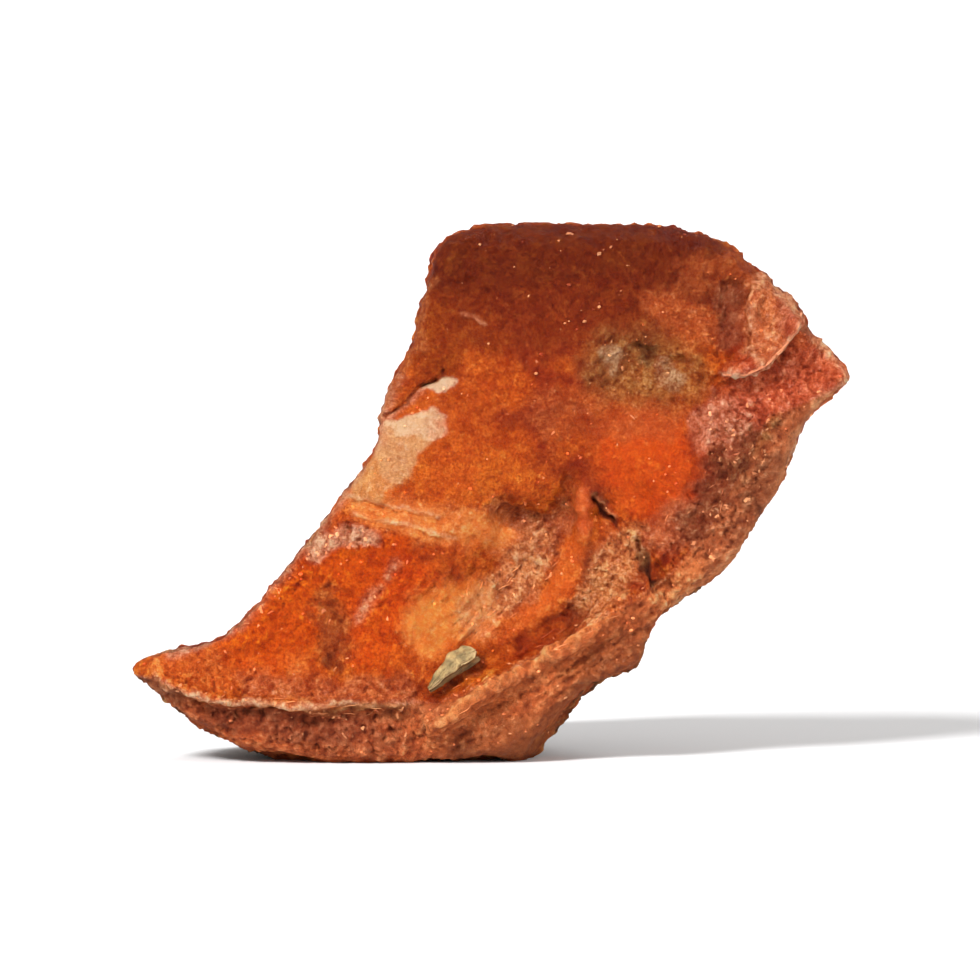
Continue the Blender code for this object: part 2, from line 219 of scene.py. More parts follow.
# Ledges on the front: points, with the high side on the left as one walks along them, height,
# and how far back the high side fades out.
LEDGES = {
    "free edge of the flap": (FLAP_EDGE, 0.36, 1.8),
    "left side of the flap": (
        ((14.3, 26.7), (13.9, 25.6), (14.0, 24.0), (14.2, 22.7), (14.6, 22.2)),
        0.36,
        0.8,
    ),
    "slit": (SLIT, 0.16, 0.7),
    "cream patch": (
        ((-6.4, 14.9), (-5.2, 15.0), (-4.3, 15.8), (-3.6, 16.9), (-3.2, 18.2), (-2.6, 19.3)),
        0.1,
        1.0,
    ),
    "upper edge of the slab": (SLAB_EDGE[::-1], 0.4, 1.2),
    "end of the slab": (((-3.9, 3.6), (-3.5, 2.9), (-3.5, 2.0), (-3.3, 1.0)), 0.3, 1.0),
    "low rim": (
        ((-18.4, 4.9), (-16.6, 4.2), (-14.0, 3.5), (-11.0, 3.3), (-7.4, 3.75), (-4.3, 3.7)),
        0.26,
        0.5,
    ),
    "fold under the cream patch": (((-8.0, 15.0), (-5.2, 14.6), (-2.6, 13.9)), 0.14, 0.9),
    "fold below that": (((-7.6, 14.0), (-4.4, 13.5), (-1.8, 12.6)), 0.14, 0.8),
    "line under the olive patch": (((3.4, 20.6), (5.8, 19.8), (9.8, 19.9)), 0.08, 0.6),
    "crease on the shoulder": (((-1.55, 24.9), (-0.9, 24.75), (-0.3, 24.25)), 0.14, 0.4),
    "left side of the bank": (((11.8, 16.2), (12.0, 18.6), (12.3, 21.2)), 0.1, 0.8),
    "foot of the cheek": (((5.5, 14.9), (7.0, 13.8), (8.4, 13.3)), 0.2, 1.0),
    "lip of the seed hollow": (((-0.2, 14.9), (1.4, 14.5), (2.6, 14.2), (3.5, 14.5)), 0.14, 0.7),
    "lower lip of the seed hollow": (((3.9, 13.1), (2.4, 12.8), (0.4, 13.2)), 0.14, 0.7),
    "scuffed skin by the edge": (((-6.6, 12.6), (-8.6, 11.6), (-10.8, 10.9)), 0.1, 0.6),
    "scuff across the lobe": (((-7.2, 8.2), (-6.2, 9.6), (-5.0, 11.0)), 0.05, 0.5),
}
# Streaks raised on the front: points, half width of the patch, turn from x in degrees,
# length and thickness of a streak, and height.
STREAKS = {
    "creased flesh": (((-6.8, 14.4), (-4.0, 12.8), (-1.0, 12.0)), 2.0, -32.0, 2.6, 0.5, 0.13),
    "flesh by the valley": (((-4.6, 8.2), (-2.0, 11.0)), 2.2, 62.0, 1.8, 0.36, 0.12),
    "pale fibres": (((-0.8, 7.8), (1.4, 9.8), (3.0, 12.0)), 1.7, 58.0, 1.6, 0.36, 0.13),
    "lobe": (((-13.0, 7.6), (-10.4, 9.6)), 2.4, 48.0, 2.0, 0.45, 0.12),
    "top": (((-2.0, 27.6), (4.0, 27.6), (10.6, 27.0)), 3.4, 78.0, 2.6, 0.6, 0.05),
    "shoulder": (((-2.6, 22.6), (4.6, 18.8), (9.0, 18.6)), 2.8, 20.0, 2.6, 0.6, 0.07),
    "cheek": (((8.0, 17.6), (9.0, 15.4)), 2.0, 75.0, 2.2, 0.6, 0.08),
    "slab": (((-2.4, 2.2), (2.6, 4.6), (7.6, 7.6)), 2.2, 33.0, 2.4, 0.3, 0.16),
    "low band": (((-17.0, 3.2), (-11.0, 2.0), (-5.0, 1.8)), 1.6, 66.0, 1.1, 0.5, 0.1),
    "right facet": (((14.6, 20.0), (17.6, 21.8)), 2.4, -52.0, 1.6, 0.36, 0.14),
    "flap": (((14.6, 25.6), (14.8, 23.4)), 1.4, 70.0, 1.6, 0.36, 0.12),
}
# Where the flesh or rind is broken into crystal: points, half width, size and height.
CRYSTAL = {
    "right bank": (((11.6, 13.0), (13.6, 15.6), (14.6, 18.4)), 2.4, 0.45, 0.08),
    "bank below it": (((6.4, 9.6), (7.4, 11.6), (10.4, 10.6)), 2.0, 0.55, 0.1),
    "pale fibres": (PALE_FIBRES, 1.5, 0.5, 0.06),
    "thin edge": (((-11.6, 10.6), (-9.0, 12.4), (-6.8, 12.8)), 1.2, 0.5, 0.12),
    "low band": (((-16.0, 2.6), (-10.0, 1.7), (-5.0, 1.8)), 1.4, 0.5, 0.16),
    "low flesh": (((-12.6, 5.0), (-8.0, 4.8), (-4.6, 5.6)), 1.1, 0.45, 0.05),
    "right facet": (((13.0, 19.4), (16.4, 21.0), (18.4, 21.6)), 2.0, 0.5, 0.08),
    "olive patch": (((7.0, 22.1), (10.0, 21.6)), 1.9, 0.5, 0.04),
}


# Where the skin is torn and grainy: points, half width and strength.
TORN = {
    "horn": (((-19.4, 5.4), (-16.0, 5.6), (-14.0, 6.4)), 0.9, 0.6),
    "low flesh": (((-17.0, 4.7), (-12.0, 4.4), (-8.0, 4.2), (-4.0, 4.6), (-1.8, 5.2)), 1.2, 0.8),
    "low band": (((-18.4, 4.2), (-12.0, 2.0), (-4.0, 1.6)), 2.2, 1.0),
    "slab": (((-3.4, 1.6), (0.0, 3.6), (4.0, 5.6), (7.6, 8.6)), 2.4, 0.8),
    "bank beside the valley": (((4.6, 8.6), (6.6, 10.8), (7.6, 12.6)), 1.6, 1.0),
    "right bank": (((9.4, 9.4), (12.0, 13.0), (13.6, 16.0), (14.2, 19.0)), 2.3, 1.0),
    "right facet": (((12.8, 20.4), (16.0, 21.2), (18.8, 21.6)), 2.3, 0.85),
    "flap": (((14.8, 26.4), (15.2, 23.6)), 1.5, 0.75),
    "recess by the flap": (((12.4, 26.4), (12.4, 22.4)), 1.1, 0.8),
    "pale fibres": (((-0.8, 8.0), (1.1, 10.3), (2.8, 12.2)), 1.3, 1.0),
    "valley": (((3.4, 7.4), (5.6, 10.6)), 0.9, 0.6),
    "seed hollow": (((0.4, 14.4), (2.4, 13.8), (4.4, 14.8)), 0.9, 0.9),
    "brown smear": (((-8.9, 9.4), (-8.2, 6.2)), 1.3, 0.9),
    "skin by the thin edge": (((-12.0, 9.8), (-9.0, 11.9), (-6.0, 12.8)), 1.1, 1.0),
    "creased flesh": (((-6.4, 14.0), (-1.0, 12.6)), 1.2, 0.5),
    "scuff across the lobe": (((-7.2, 8.2), (-5.0, 11.0)), 0.6, 0.8),
    "olive patch": (((6.6, 22.4), (10.2, 21.6)), 2.0, 0.6),
    "lobe": (((-13.0, 7.6), (-10.0, 9.6), (-7.0, 10.8)), 2.0, 0.4),
    "top": (((-2.0, 27.6), (4.0, 27.6), (10.6, 26.6)), 3.6, 0.5),
    "shoulder": (((9.6, 26.6), (11.0, 24.0)), 1.4, 0.6),
}
# Where it is smooth, with little grain or mottling: points, half width and strength.
CALM = {
    "cream patch": (((-6.5, 15.6), (-5.0, 17.6), (-3.3, 19.0)), 1.3, 0.6),
    "cream spot": (((-3.0, 20.9), (-2.6, 21.2)), 0.5, 0.9),
    # Smooth under the painted highlight on the pale gold flesh.
    "pale gold with painted highlight": (((-3.0, 8.0), (-1.0, 8.6)), 1.6, 0.7),
    "cheek": (((8.0, 17.6), (9.0, 15.8)), 2.0, 0.5),
    "tongue": (((4.95, 15.1), (5.15, 13.0)), 0.5, 0.7),
    "creased flesh": (((-6.6, 14.4), (-2.0, 13.4), (0.4, 13.0)), 1.0, 0.5),
    "band beside the valley": (((2.4, 8.2), (3.7, 10.0), (4.7, 12.2)), 0.6, 0.4),
}
TORN_ANYWHERE = 0.32  # on the rest of the front
TORN_BEHIND = (1.0, 0.9)  # on the cuts, and on the rind
GRAIN_SIZE = 0.55
GRAIN_SEED = 71.0
GRAIN_STREAKS = (0.9, 0.3, 50.0, 7.0)  # length, thickness, turn from x and seed
GRAIN_HEIGHT = 0.14
# Hollows of the solid that are filled up, to be cut narrower: points, half width and strength.
FILLED = (
    (((8.2, 12.8), (8.6, 11.4), (9.6, 9.7)), 1.1, 1.0),
    (((5.8, 14.8), (6.8, 13.8)), 0.9, 1.0),
    (((-5.5, 19.2), (-4.0, 20.8), (-2.4, 22.2)), 1.5, 1.0),
    (((13.1, 26.0), (12.9, 24.6), (13.3, 23.4)), 1.0, 0.7),
    (((0.4, 14.1), (2.4, 13.6), (4.0, 14.6)), 1.2, 0.6),
    (((0.8, 6.3), (3.8, 7.8), (6.6, 9.6)), 1.1, 0.5),
)

# Thin flakes on the front: the line down the middle, half width at its end, width at its
# start as a share of that, how far it stands off the skin at its left as one walks along it,
# at its middle, right and far end, how crumpled it is, its colour, and that of its free edge.
FLAKES = {
    "husk_flake": (
        ((-3.25, 4.65), (-2.4, 5.55), (-1.45, 6.2), (-0.5, 6.6)),
        0.66,
        0.3,
        (0.05, 0.22, 0.36, 0.34),
        0.13,
        (142, 118, 76),
        (184, 154, 108),
    ),
    "husk_flake_fold": (
        ((-3.2, 4.5), (-2.2, 5.1), (-1.3, 5.6), (-0.3, 6.1)),
        0.3,
        0.5,
        (0.34, 0.12, 0.2, 0.1),
        0.08,
        (104, 78, 46),
        (150, 122, 82),
    ),
    "flap_edge": (
        FLAP_EDGE,
        0.075,
        0.8,
        (0.0, 0.02, 0.05, 0.0),
        0.03,
        (216, 132, 90),
        (230, 156, 114),
    ),
}
# Woody strands lying on the front: points, half width of the patch, count, turn from x in
# degrees, and length.
STRANDS = {
    "upper edge of the slab": (((-3.6, 2.6), (3.4, 6.6), (6.4, 8.2)), 0.6, 14, 34.0, 1.0),
    "low rim": (((-17.0, 4.4), (-9.6, 3.2), (-4.8, 3.2)), 0.4, 12, 6.0, 0.9),
    "pale fibres": (PALE_FIBRES, 1.2, 12, 60.0, 0.7),
    "bank": (((7.0, 10.6), (12.6, 14.6), (14.4, 18.0)), 1.7, 8, 60.0, 0.6),
}
SEED_FIBRES = 20  # round each seed, as long as this
SEED_FIBRE_LENGTH = 0.9
STRAND_RADIUS = 0.024
STRAND_RINGS = 9
# Chips: small broken scales of skin. Points, half width of the patch, count, and size.
CHIPS = {
    "thin edge": (((-13.2, 8.4), (-10.4, 11.0), (-8.2, 12.4), (-6.6, 12.9)), 0.7, 34, 0.3),
    "edge of the horn": (((-18.6, 5.6), (-14.6, 7.2), (-13.4, 8.4)), 0.4, 10, 0.22),
    "low rim": (((-17.6, 4.6), (-13.6, 3.7), (-9.6, 3.3), (-4.6, 3.3)), 0.45, 36, 0.22),
    "upper edge of the slab": (((-3.8, 2.6), (-0.4, 4.7), (3.4, 6.8), (6.4, 8.4)), 0.5, 30, 0.22),
    "pale fibres": (PALE_FIBRES, 1.3, 36, 0.22),
    "right bank": (((10.4, 11.0), (13.4, 14.6), (14.8, 18.4), (12.6, 19.4)), 1.8, 56, 0.24),
    "olive patch": (((6.4, 22.4), (10.2, 21.8)), 1.7, 16, 0.2),
    "flap": (((13.8, 26.0), (13.8, 22.4), (16.4, 23.4)), 0.5, 12, 0.2),
    "right facet": (((13.6, 20.4), (18.0, 21.6)), 1.5, 22, 0.2),
}
CHIPS_ELSEWHERE = 160
CRUMBS = 420
CRUMB_SIZES = (0.04, 0.13)
# Where the random draws for the small pieces start.
STRAND_DRAWS = 11
CHIP_DRAWS = 23
CRUMB_DRAWS = 5
FLAKE_THICKNESS = 0.08


def srgb(red, green, blue):
    """A colour as a screen shows it, 0 to 255, turned into scene light."""
    shares = [value / 255 for value in (red, green, blue)]
    return tuple(s / 12.92 if s <= 0.04045 else ((s + 0.055) / 1.055) ** 2.4 for s in shares)


FLESH = srgb(206, 78, 14)
FLESH_DEEP = srgb(166, 50, 10)
FLESH_GOLD = srgb(226, 98, 20)
CUT_FLESH = srgb(188, 68, 18)
CUT_DARKER = (0.62, 0.5, 0.36)
CUT_PALER = (1.38, 1.75, 1.9)
RIND_ON_CUT = srgb(190, 92, 36)
PALE_LINE = srgb(214, 148, 100)
PALE_LINE_WIDTH = 0.22
SOCKET = srgb(132, 56, 22)
SOCKET_EDGE = (2.0, 1.2)
PALE_CHIP = srgb(236, 164, 108)
SEED_TAN = srgb(188, 124, 64)
SEED_END = srgb(142, 82, 36)
SEED_SIDE = srgb(110, 56, 22)
SEED_STAIN = srgb(128, 66, 28)
SEED_WOOL = srgb(218, 166, 100)
SEED_FURROW = srgb(104, 54, 20)
RIND = srgb(150, 82, 38)
RIND_DARK = srgb(54, 27, 13)
RIND_TAN = srgb(206, 122, 62)
# Tints for the grain's crests and gaps: pale and dark flecks of the skin, partly painted highlight on the
# crests and painted shade in the gaps.
CREST_TINT = (1.25, 1.75, 2.2)
GAP_TINT = (0.6, 0.44, 0.4)
PALEST = srgb(252, 206, 164)
# The most green for the red, and the most blue for the green, in flesh and rind: in what has
# hardly any red, and in what has the most.
GREEN_LIMIT = (0.34, 0.66)
BLUE_LIMIT = (0.25, 0.62)

# Colours laid on the front in turn: points (x, z), half width, softness of the edge as a
# share of it, colour, and strength.
FRONT_PATCHES = {
    "shade at the top": (((-3.0, 29.0), (4.0, 29.6), (10.5, 28.4)), 4.2, 0.9, srgb(106, 26, 1), 0.9),
    "shade under it": (((-0.5, 24.6), (5.0, 24.8), (8.0, 25.4)), 2.0, 0.9, srgb(138, 42, 5), 0.75),
    "upper left flesh": (((-3.4, 24.6), (-3.0, 22.6)), 1.4, 0.8, srgb(152, 50, 4), 0.8),
    "horn flesh": (((-17.6, 5.4), (-14.0, 5.4), (-11.0, 5.2)), 1.3, 0.7, srgb(234, 98, 28), 0.8),
    "lobe": (((-12.6, 7.4), (-9.6, 10.0), (-6.0, 11.6)), 2.2, 0.8, srgb(226, 76, 2), 0.8),
    "lobe by the valley": (((-6.4, 7.4), (-4.4, 9.6)), 1.8, 0.8, srgb(228, 74, 4), 0.8),
    # Pale smooth flesh with a painted glossy highlight.
    "pale gold with painted highlight": (((-3.0, 8.0), (-1.0, 8.6)), 1.6, 0.9, srgb(255, 128, 46), 1.0),
    "brown smear": (((-8.9, 9.0), (-8.3, 7.2)), 1.0, 0.9, srgb(176, 84, 30), 0.6),
    "dark spot": (((-8.5, 6.1), (-8.3, 6.0)), 0.4, 0.8, srgb(110, 40, 16), 0.6),
    "low flesh": (((-13.0, 4.6), (-8.0, 4.2), (-4.6, 4.6)), 0.9, 0.9, srgb(204, 92, 42), 0.7),
    "pale skin by the edge": (
        ((-9.4, 11.8), (-8.0, 12.7), (-6.8, 12.6)),
        0.6,
        0.8,
        srgb(240, 158, 108),
        0.7,
    ),
    "creased flesh": (((-6.6, 14.4), (-2.0, 13.4), (0.4, 13.0)), 1.1, 0.9, srgb(255, 128, 50), 0.8),
    "cream patch, low end": (((-6.5, 15.7), (-5.3, 16.7)), 1.05, 0.35, srgb(228, 134, 64), 0.95),
    "cream patch": (((-5.2, 17.0), (-4.6, 17.9)), 1.05, 0.35, srgb(228, 148, 84), 0.95),
    "cream patch, bright top": (((-4.5, 18.8), (-3.2, 18.95)), 0.65, 0.5, srgb(250, 192, 138), 0.95),
    # Painted shadow along the slit, under its overhanging upper side.
    "slit": (SLIT, 0.1, 0.8, srgb(120, 36, 14), 0.7),
    "cream spot": (((-3.0, 20.9), (-2.6, 21.2)), 0.42, 0.5, srgb(240, 188, 144), 0.9),
    "thin edge": (
        ((-3.4, 27.0), (-4.2, 23.4), (-5.8, 20.4), (-6.3, 18.0)),
        0.4,
        0.8,
        srgb(190, 90, 36),
        0.6,
    ),
    "cheek": (((8.0, 17.6), (9.0, 15.8)), 2.3, 0.6, srgb(220, 70, 8), 0.85),
    "flesh over the cheek": (((3.2, 19.4), (9.4, 19.4)), 1.2, 0.9, srgb(190, 80, 30), 0.6),
    "flesh by the cream patch": (((-1.4, 19.8), (-2.2, 16.4)), 1.5, 0.9, srgb(214, 84, 16), 0.8),
    "olive patch": (((7.0, 22.1), (10.0, 21.7)), 1.9, 1.0, srgb(164, 92, 36), 0.75),
    "olive patch, dark middle": (((8.2, 22.9), (8.6, 22.7)), 0.6, 0.9, srgb(96, 58, 26), 0.6),
    "olive patch, pale left": (((6.3, 22.8), (6.7, 22.4)), 0.45, 0.8, srgb(206, 150, 104), 0.45),
    "olive patch, pale right": (((9.6, 21.6), (10.4, 21.2)), 0.6, 0.8, srgb(196, 140, 94), 0.4),
    "seed hollow": (((0.5, 14.1), (1.8, 13.6), (3.0, 13.5), (3.9, 13.9)), 0.7, 0.8, srgb(200, 98, 50), 0.6),
    "arm of the seed hollow": (((4.0, 14.4), (4.3, 16.0)), 0.4, 0.9, srgb(168, 70, 30), 0.5),
    # Painted shadow in the pit.
    "pit": (((5.75, 14.75), (6.8, 13.8)), 0.24, 0.7, srgb(90, 28, 14), 0.9),
    "tongue": (((4.95, 15.1), (5.15, 13.0)), 0.42, 0.6, srgb(216, 84, 30), 0.85),
    # Darker down the valley: painted shade in the groove.
    "valley": (((5.5, 11.8), (5.2, 10.0), (4.2, 7.8)), 0.7, 0.9, srgb(156, 60, 24), 0.7),
    "band beside the valley": (
        ((0.6, 7.2), (2.4, 8.2), (3.7, 10.0), (4.7, 12.2)),
        0.7,
        0.9,
        srgb(236, 98, 28),
        0.85,
    ),
    "pale fibres": (((-0.6, 8.4), (1.2, 10.2), (2.4, 12.2)), 1.2, 0.9, srgb(234, 134, 70), 0.7),
    # Painted shade in the crevice.
    "crevice": (((8.2, 12.6), (8.6, 11.4), (9.4, 9.9)), 0.28, 0.8, srgb(72, 28, 12), 0.9),
    "shade under the husk": (((-2.6, 4.6), (-0.5, 5.8)), 0.35, 0.9, srgb(140, 56, 26), 0.6),
    "bank by the crevice": (((5.6, 9.0), (6.8, 10.4), (7.4, 12.2)), 1.2, 0.9, srgb(228, 126, 62), 0.85),
    "bank above it": (((9.4, 12.8), (10.8, 14.2)), 1.0, 0.9, srgb(216, 104, 52), 0.7),
    "granular bank": (((12.0, 13.6), (13.8, 15.6), (14.8, 17.4)), 1.7, 0.8, srgb(148, 68, 36), 0.85),
    "shade on the bank": (((12.4, 16.8), (14.4, 16.0)), 0.8, 0.9, srgb(122, 58, 34), 0.5),
    "pink bank": (((12.2, 18.6), (13.4, 19.4)), 1.2, 0.9, srgb(226, 126, 84), 0.7),
    "right facet": (((15.4, 20.8), (18.4, 21.6)), 2.2, 0.7, srgb(214, 86, 44), 0.85),
    "flap": (((14.8, 25.9), (14.9, 23.4)), 1.2, 0.4, srgb(226, 114, 56), 0.9),
    "right side of the flap": (((16.0, 25.6), (16.2, 24.4)), 0.7, 0.8, srgb(196, 84, 48), 0.7),
    # Browner flesh, with painted shade in the recess beside the flap.
    "recess by the flap": (((12.9, 26.0), (12.9, 23.6)), 0.7, 0.9, srgb(164, 78, 44), 0.6),
    "glow beside the olive patch": (((9.4, 25.6), (11.2, 24.2)), 1.0, 1.1, srgb(220, 96, 36), 0.65),
    "orange by the top right": (((11.0, 27.0), (13.6, 27.4)), 1.1, 0.9, srgb(184, 76, 26), 0.7),
}
# The same for what lies outside the rim line, the rind seen on its cut.
RIM_PATCHES = {
    "low band": (((-17.0, 3.0), (-12.0, 1.6), (-5.0, 1.4)), 1.7, 0.5, srgb(206, 96, 50), 0.85),
    # Dark red-brown rind, with painted shade under the overhanging rim.
    "low band, dark": (((-15.0, 2.8), (-9.4, 2.2), (-7.0, 2.2)), 0.7, 0.9, srgb(136, 54, 28), 0.6),
    # The rind's orange lower edge, with painted reflected light along it.
    "low band, lower edge with painted reflection": (((-14.6, 1.6), (-9.6, 0.5), (-4.6, 0.4)), 0.5, 1.0, srgb(232, 108, 52), 0.75),
    "slab": (((-2.4, 2.2), (2.6, 4.6), (7.6, 7.6)), 2.4, 0.3, srgb(222, 108, 54), 0.9),
    "foot of the slab": (
        ((-1.0, 0.6), (2.6, 1.4), (5.0, 3.0), (8.4, 6.4)),
        1.6,
        0.8,
        srgb(178, 90, 46),
        0.85,
    ),
    "horn tip": (((-19.6, 5.2), (-17.6, 4.2)), 0.9, 0.6, srgb(184, 102, 62), 0.8),
    "right bank": (((9.8, 9.6), (12.4, 12.0)), 1.4, 0.6, srgb(250, 134, 72), 0.85),
    "right edge": (
        ((12.8, 12.4), (15.4, 15.6), (16.8, 18.4), (18.0, 20.2)),
        1.6,
        0.6,
        srgb(196, 98, 54),
        0.9,
    ),
    "right edge, dark": (((14.4, 14.8), (15.6, 17.0)), 0.7, 0.9, srgb(134, 70, 40), 0.5),
}
# Pale edges, partly pale skin and partly painted highlight where the edges catch the light:
# points, half width, colour and strength.
PALE_EDGES_AND_HIGHLIGHTS = {
    "low rim": (
        (
            (-18.6, 5.0),
            (-16.6, 4.2),
            (-14.0, 3.5),
            (-11.0, 3.3),
            (-9.0, 3.6),
            (-7.4, 3.75),
            (-5.9, 3.5),
            (-4.3, 3.75),
        ),
        0.16,
        srgb(240, 156, 100),
        0.75,
    ),
    "end of the slab": (((-3.6, 3.0), (-3.5, 2.0), (-3.2, 1.3)), 0.24, srgb(236, 130, 70), 0.7),
    "corner of the slab": (((-4.3, 3.75), (-3.6, 3.4), (-2.6, 3.3)), 0.3, srgb(230, 134, 82), 0.6),
    "upper edge of the slab": (SLAB_EDGE, 0.26, srgb(244, 140, 74), 0.85),
    "free edge of the flap": (FLAP_EDGE, 0.11, srgb(236, 160, 114), 0.8),
    "left side of the flap": (
        ((14.45, 26.7), (14.05, 25.6), (14.15, 24.0), (14.35, 22.7), (14.7, 22.3)),
        0.22,
        srgb(240, 146, 88),
        0.7,
    ),
    "slit": (((-5.2, 19.25), (-4.3, 20.25), (-3.5, 20.95)), 0.12, srgb(232, 140, 92), 0.7),
    "crease on the shoulder": (((-1.55, 25.0), (-0.9, 24.85), (-0.3, 24.35)), 0.11, srgb(224, 130, 80), 0.6),
    "fold under the cream patch": (
        ((-7.6, 15.0), (-5.2, 14.7), (-2.6, 14.0)),
        0.13,
        srgb(244, 160, 100),
        0.6,
    ),
    "fold below that": (((-7.4, 14.0), (-4.4, 13.6), (-1.8, 12.7)), 0.13, srgb(246, 160, 96), 0.6),
    "scuff across the lobe": (((-7.2, 8.3), (-6.2, 9.7), (-5.0, 11.1)), 0.26, srgb(248, 168, 108), 0.5),
    "left side of the bank": (((11.9, 17.8), (12.0, 19.2), (12.3, 20.8)), 0.14, srgb(236, 150, 112), 0.4),
    "lip over the pit": (((5.6, 15.1), (6.3, 14.55), (7.0, 13.9)), 0.12, srgb(244, 140, 80), 0.7),
}
# Painted highlight along the lit outline, laid on the same way, in places that don't stray.
MARGIN_HIGHLIGHTS = {
    "right margin": (
        ((15.0, 26.9), (16.45, 25.4), (17.85, 23.4), (18.8, 22.4), (19.5, 21.5), (18.0, 20.0), (16.8, 18.4)),
        0.26,
        srgb(252, 158, 98),
        0.85,
    ),
    "right margin below": (
        ((16.8, 18.4), (16.15, 16.4), (14.85, 13.7), (12.8, 11.0), (10.1, 9.0)),
        0.24,
        srgb(250, 156, 98),
        0.8,
    ),
    "thin edge": (
        ((-5.0, 21.3), (-5.9, 19.5), (-5.9, 18.3), (-6.9, 16.6), (-8.2, 14.7), (-10.9, 11.2), (-13.6, 8.0)),
        0.28,
        srgb(234, 152, 100),
        0.75,
    ),
    "top of the horn": (((-17.4, 6.3), (-15.6, 6.9), (-14.2, 7.6)), 0.24, srgb(236, 164, 116), 0.8),
}


def smoothstep(low, high, value):
    t = np.clip((value - low) / (high - low), 0.0, 1.0)
    return t * t * (3.0 - 2.0 * t)


def unit(vector):
    return vector / np.linalg.norm(vector)


def in_box(places):
    """The places, kept inside the solid's box."""
    return np.clip(places, *cad_box)


def distance_to(points, line):
    """How far each point (x, z) is from a line of straight runs."""
    line = np.asarray(line, float)
    best = np.full(len(points), np.inf)
    for start, end in zip(line[:-1], line[1:]):
        run = end - start
        along = np.clip((points - start) @ run / (run @ run), 0.0, 1.0)
        off = points - start - along[:, None] * run
        best = np.minimum(best, np.hypot(off[:, 0], off[:, 1]))
    return best


def height_over(points, line):
    """How far each point lies above a line that runs from left to right; below is negative."""
    line = np.asarray(line, float)
    level = np.interp(points[:, 0], line[:, 0], line[:, 1])
    return np.where(points[:, 1] > level, 1.0, -1.0) * distance_to(points, line)


def beside(points, line):
    """How far each point lies to the left of a line, and its share of the way along it."""
    line = np.asarray(line, float)
    lengths = np.linalg.norm(np.diff(line, axis=0), axis=1)
    nearest = np.full(len(points), np.inf)
    left, share = np.zeros(len(points)), np.zeros(len(points))
    done = 0.0
    for start, end, length in zip(line[:-1], line[1:], lengths):
        run = (end - start) / length
        walked = np.clip((points - start) @ run, 0.0, length)
        off = points - start - walked[:, None] * run
        far = np.hypot(off[:, 0], off[:, 1])
        side = np.where(run[0] * off[:, 1] - run[1] * off[:, 0] > 0, 1.0, -1.0)
        closer = far < nearest
        nearest = np.where(closer, far, nearest)
        left = np.where(closer, far * side, left)
        share = np.where(closer, (done + walked) / lengths.sum(), share)
        done += length
    return left, share


def wander(points):
    """The points moved about a little, as the solid's own drawn lines are."""
    length, far = WANDER
    strays = [noise.noise_vector(Vector((x, 7.0, z)) / length) for x, z in points]
    return points + far * np.array([(s.x, s.z) for s in strays]).reshape(-1, 2)


def shifted(seed):
    return Vector((seed, 2.3 * seed, -1.7 * seed))


def rough(places, length, octaves, seed=0.0):
    """Noise from about -1 to 1 in several sizes, the largest of that length."""
    shift = shifted(seed)
    return np.array([noise.fractal(Vector(p) / length + shift, 0.9, 2.0, octaves) for p in places])


def cells(places, length, seed=0.0):
    """How far each place is from the walls of cells of about that length, 0 to about 1."""
    shift = shifted(seed)
    walls = np.empty(len(places))
    for index, place in enumerate(places):
        nearest = noise.voronoi(Vector(place) / length + shift)[0]
        walls[index] = nearest[1] - nearest[0]
    return walls


def crystals(places, length, seed=0.0):
    """The height, about -1 to 1, of a surface broken into small tilted facets."""
    shift = shifted(seed)
    half = Vector((0.5, 0.5, 0.5))
    heights = np.empty(len(places))
    for index, place in enumerate(places):
        at = Vector(place) / length + shift
        at += 0.35 * noise.noise_vector(at * 1.7)
        centre = noise.voronoi(at)[1][0]
        lean = noise.cell_vector(centre * 97.0) - half
        heights[index] = 2.2 * (at - centre).dot(lean) + 1.2 * lean.x
    return heights


def grains(places, size, seed=0.0):
    """Noise from about -1 to 1 that is nearly as strong in its fine grain as in its coarse."""
    shift = shifted(seed)
    return np.array([noise.fractal(Vector(p) / size + shift, 0.35, 2.1, 3) for p in places])


def streaks(places, length, thick, turn, seed=0.0):
    """Noise drawn out along a direction in the (x, z) plane, turned from x in degrees."""
    c, s = math.cos(math.radians(turn)), math.sin(math.radians(turn))
    warp = np.array([noise.noise_vector(Vector(p) / (2.5 * length)) for p in places]) * 0.4 * length
    moved = places + warp
    along = (moved[:, 0] * c + moved[:, 2] * s) / length
    across = (moved[:, 2] * c - moved[:, 0] * s) / thick
    deep = moved[:, 1] / (2 * thick)
    return np.array([noise.noise(Vector(p)) for p in np.stack([along + seed, across, deep], axis=1)])


def read(mesh, name="co"):
    values = np.empty(len(mesh.vertices) * 3)
    mesh.vertices.foreach_get(name, values)
    return values.reshape(-1, 3)


def move(mesh, places):
    mesh.vertices.foreach_set("co", places.ravel())
    mesh.update()


def select_only(obj):
    bpy.ops.object.select_all(action="DESELECT")
    obj.select_set(True)
    bpy.context.view_layer.objects.active = obj


def apply(obj):
    """Applies every modifier of the piece, in turn."""
    select_only(obj)
    for modifier in list(obj.modifiers):
        bpy.ops.object.modifier_apply(modifier=modifier.name)


def turn_faces_out():
    """Turns the faces of the active piece outwards."""
    bpy.ops.object.mode_set(mode="EDIT")
    bpy.ops.mesh.select_all(action="SELECT")
    bpy.ops.mesh.normals_make_consistent(inside=False)
    bpy.ops.object.mode_set(mode="OBJECT")


def edge_ends(mesh):
    ends = np.empty(len(mesh.edges) * 2, int)
    mesh.edges.foreach_get("vertices", ends)
    return ends.reshape(-1, 2)


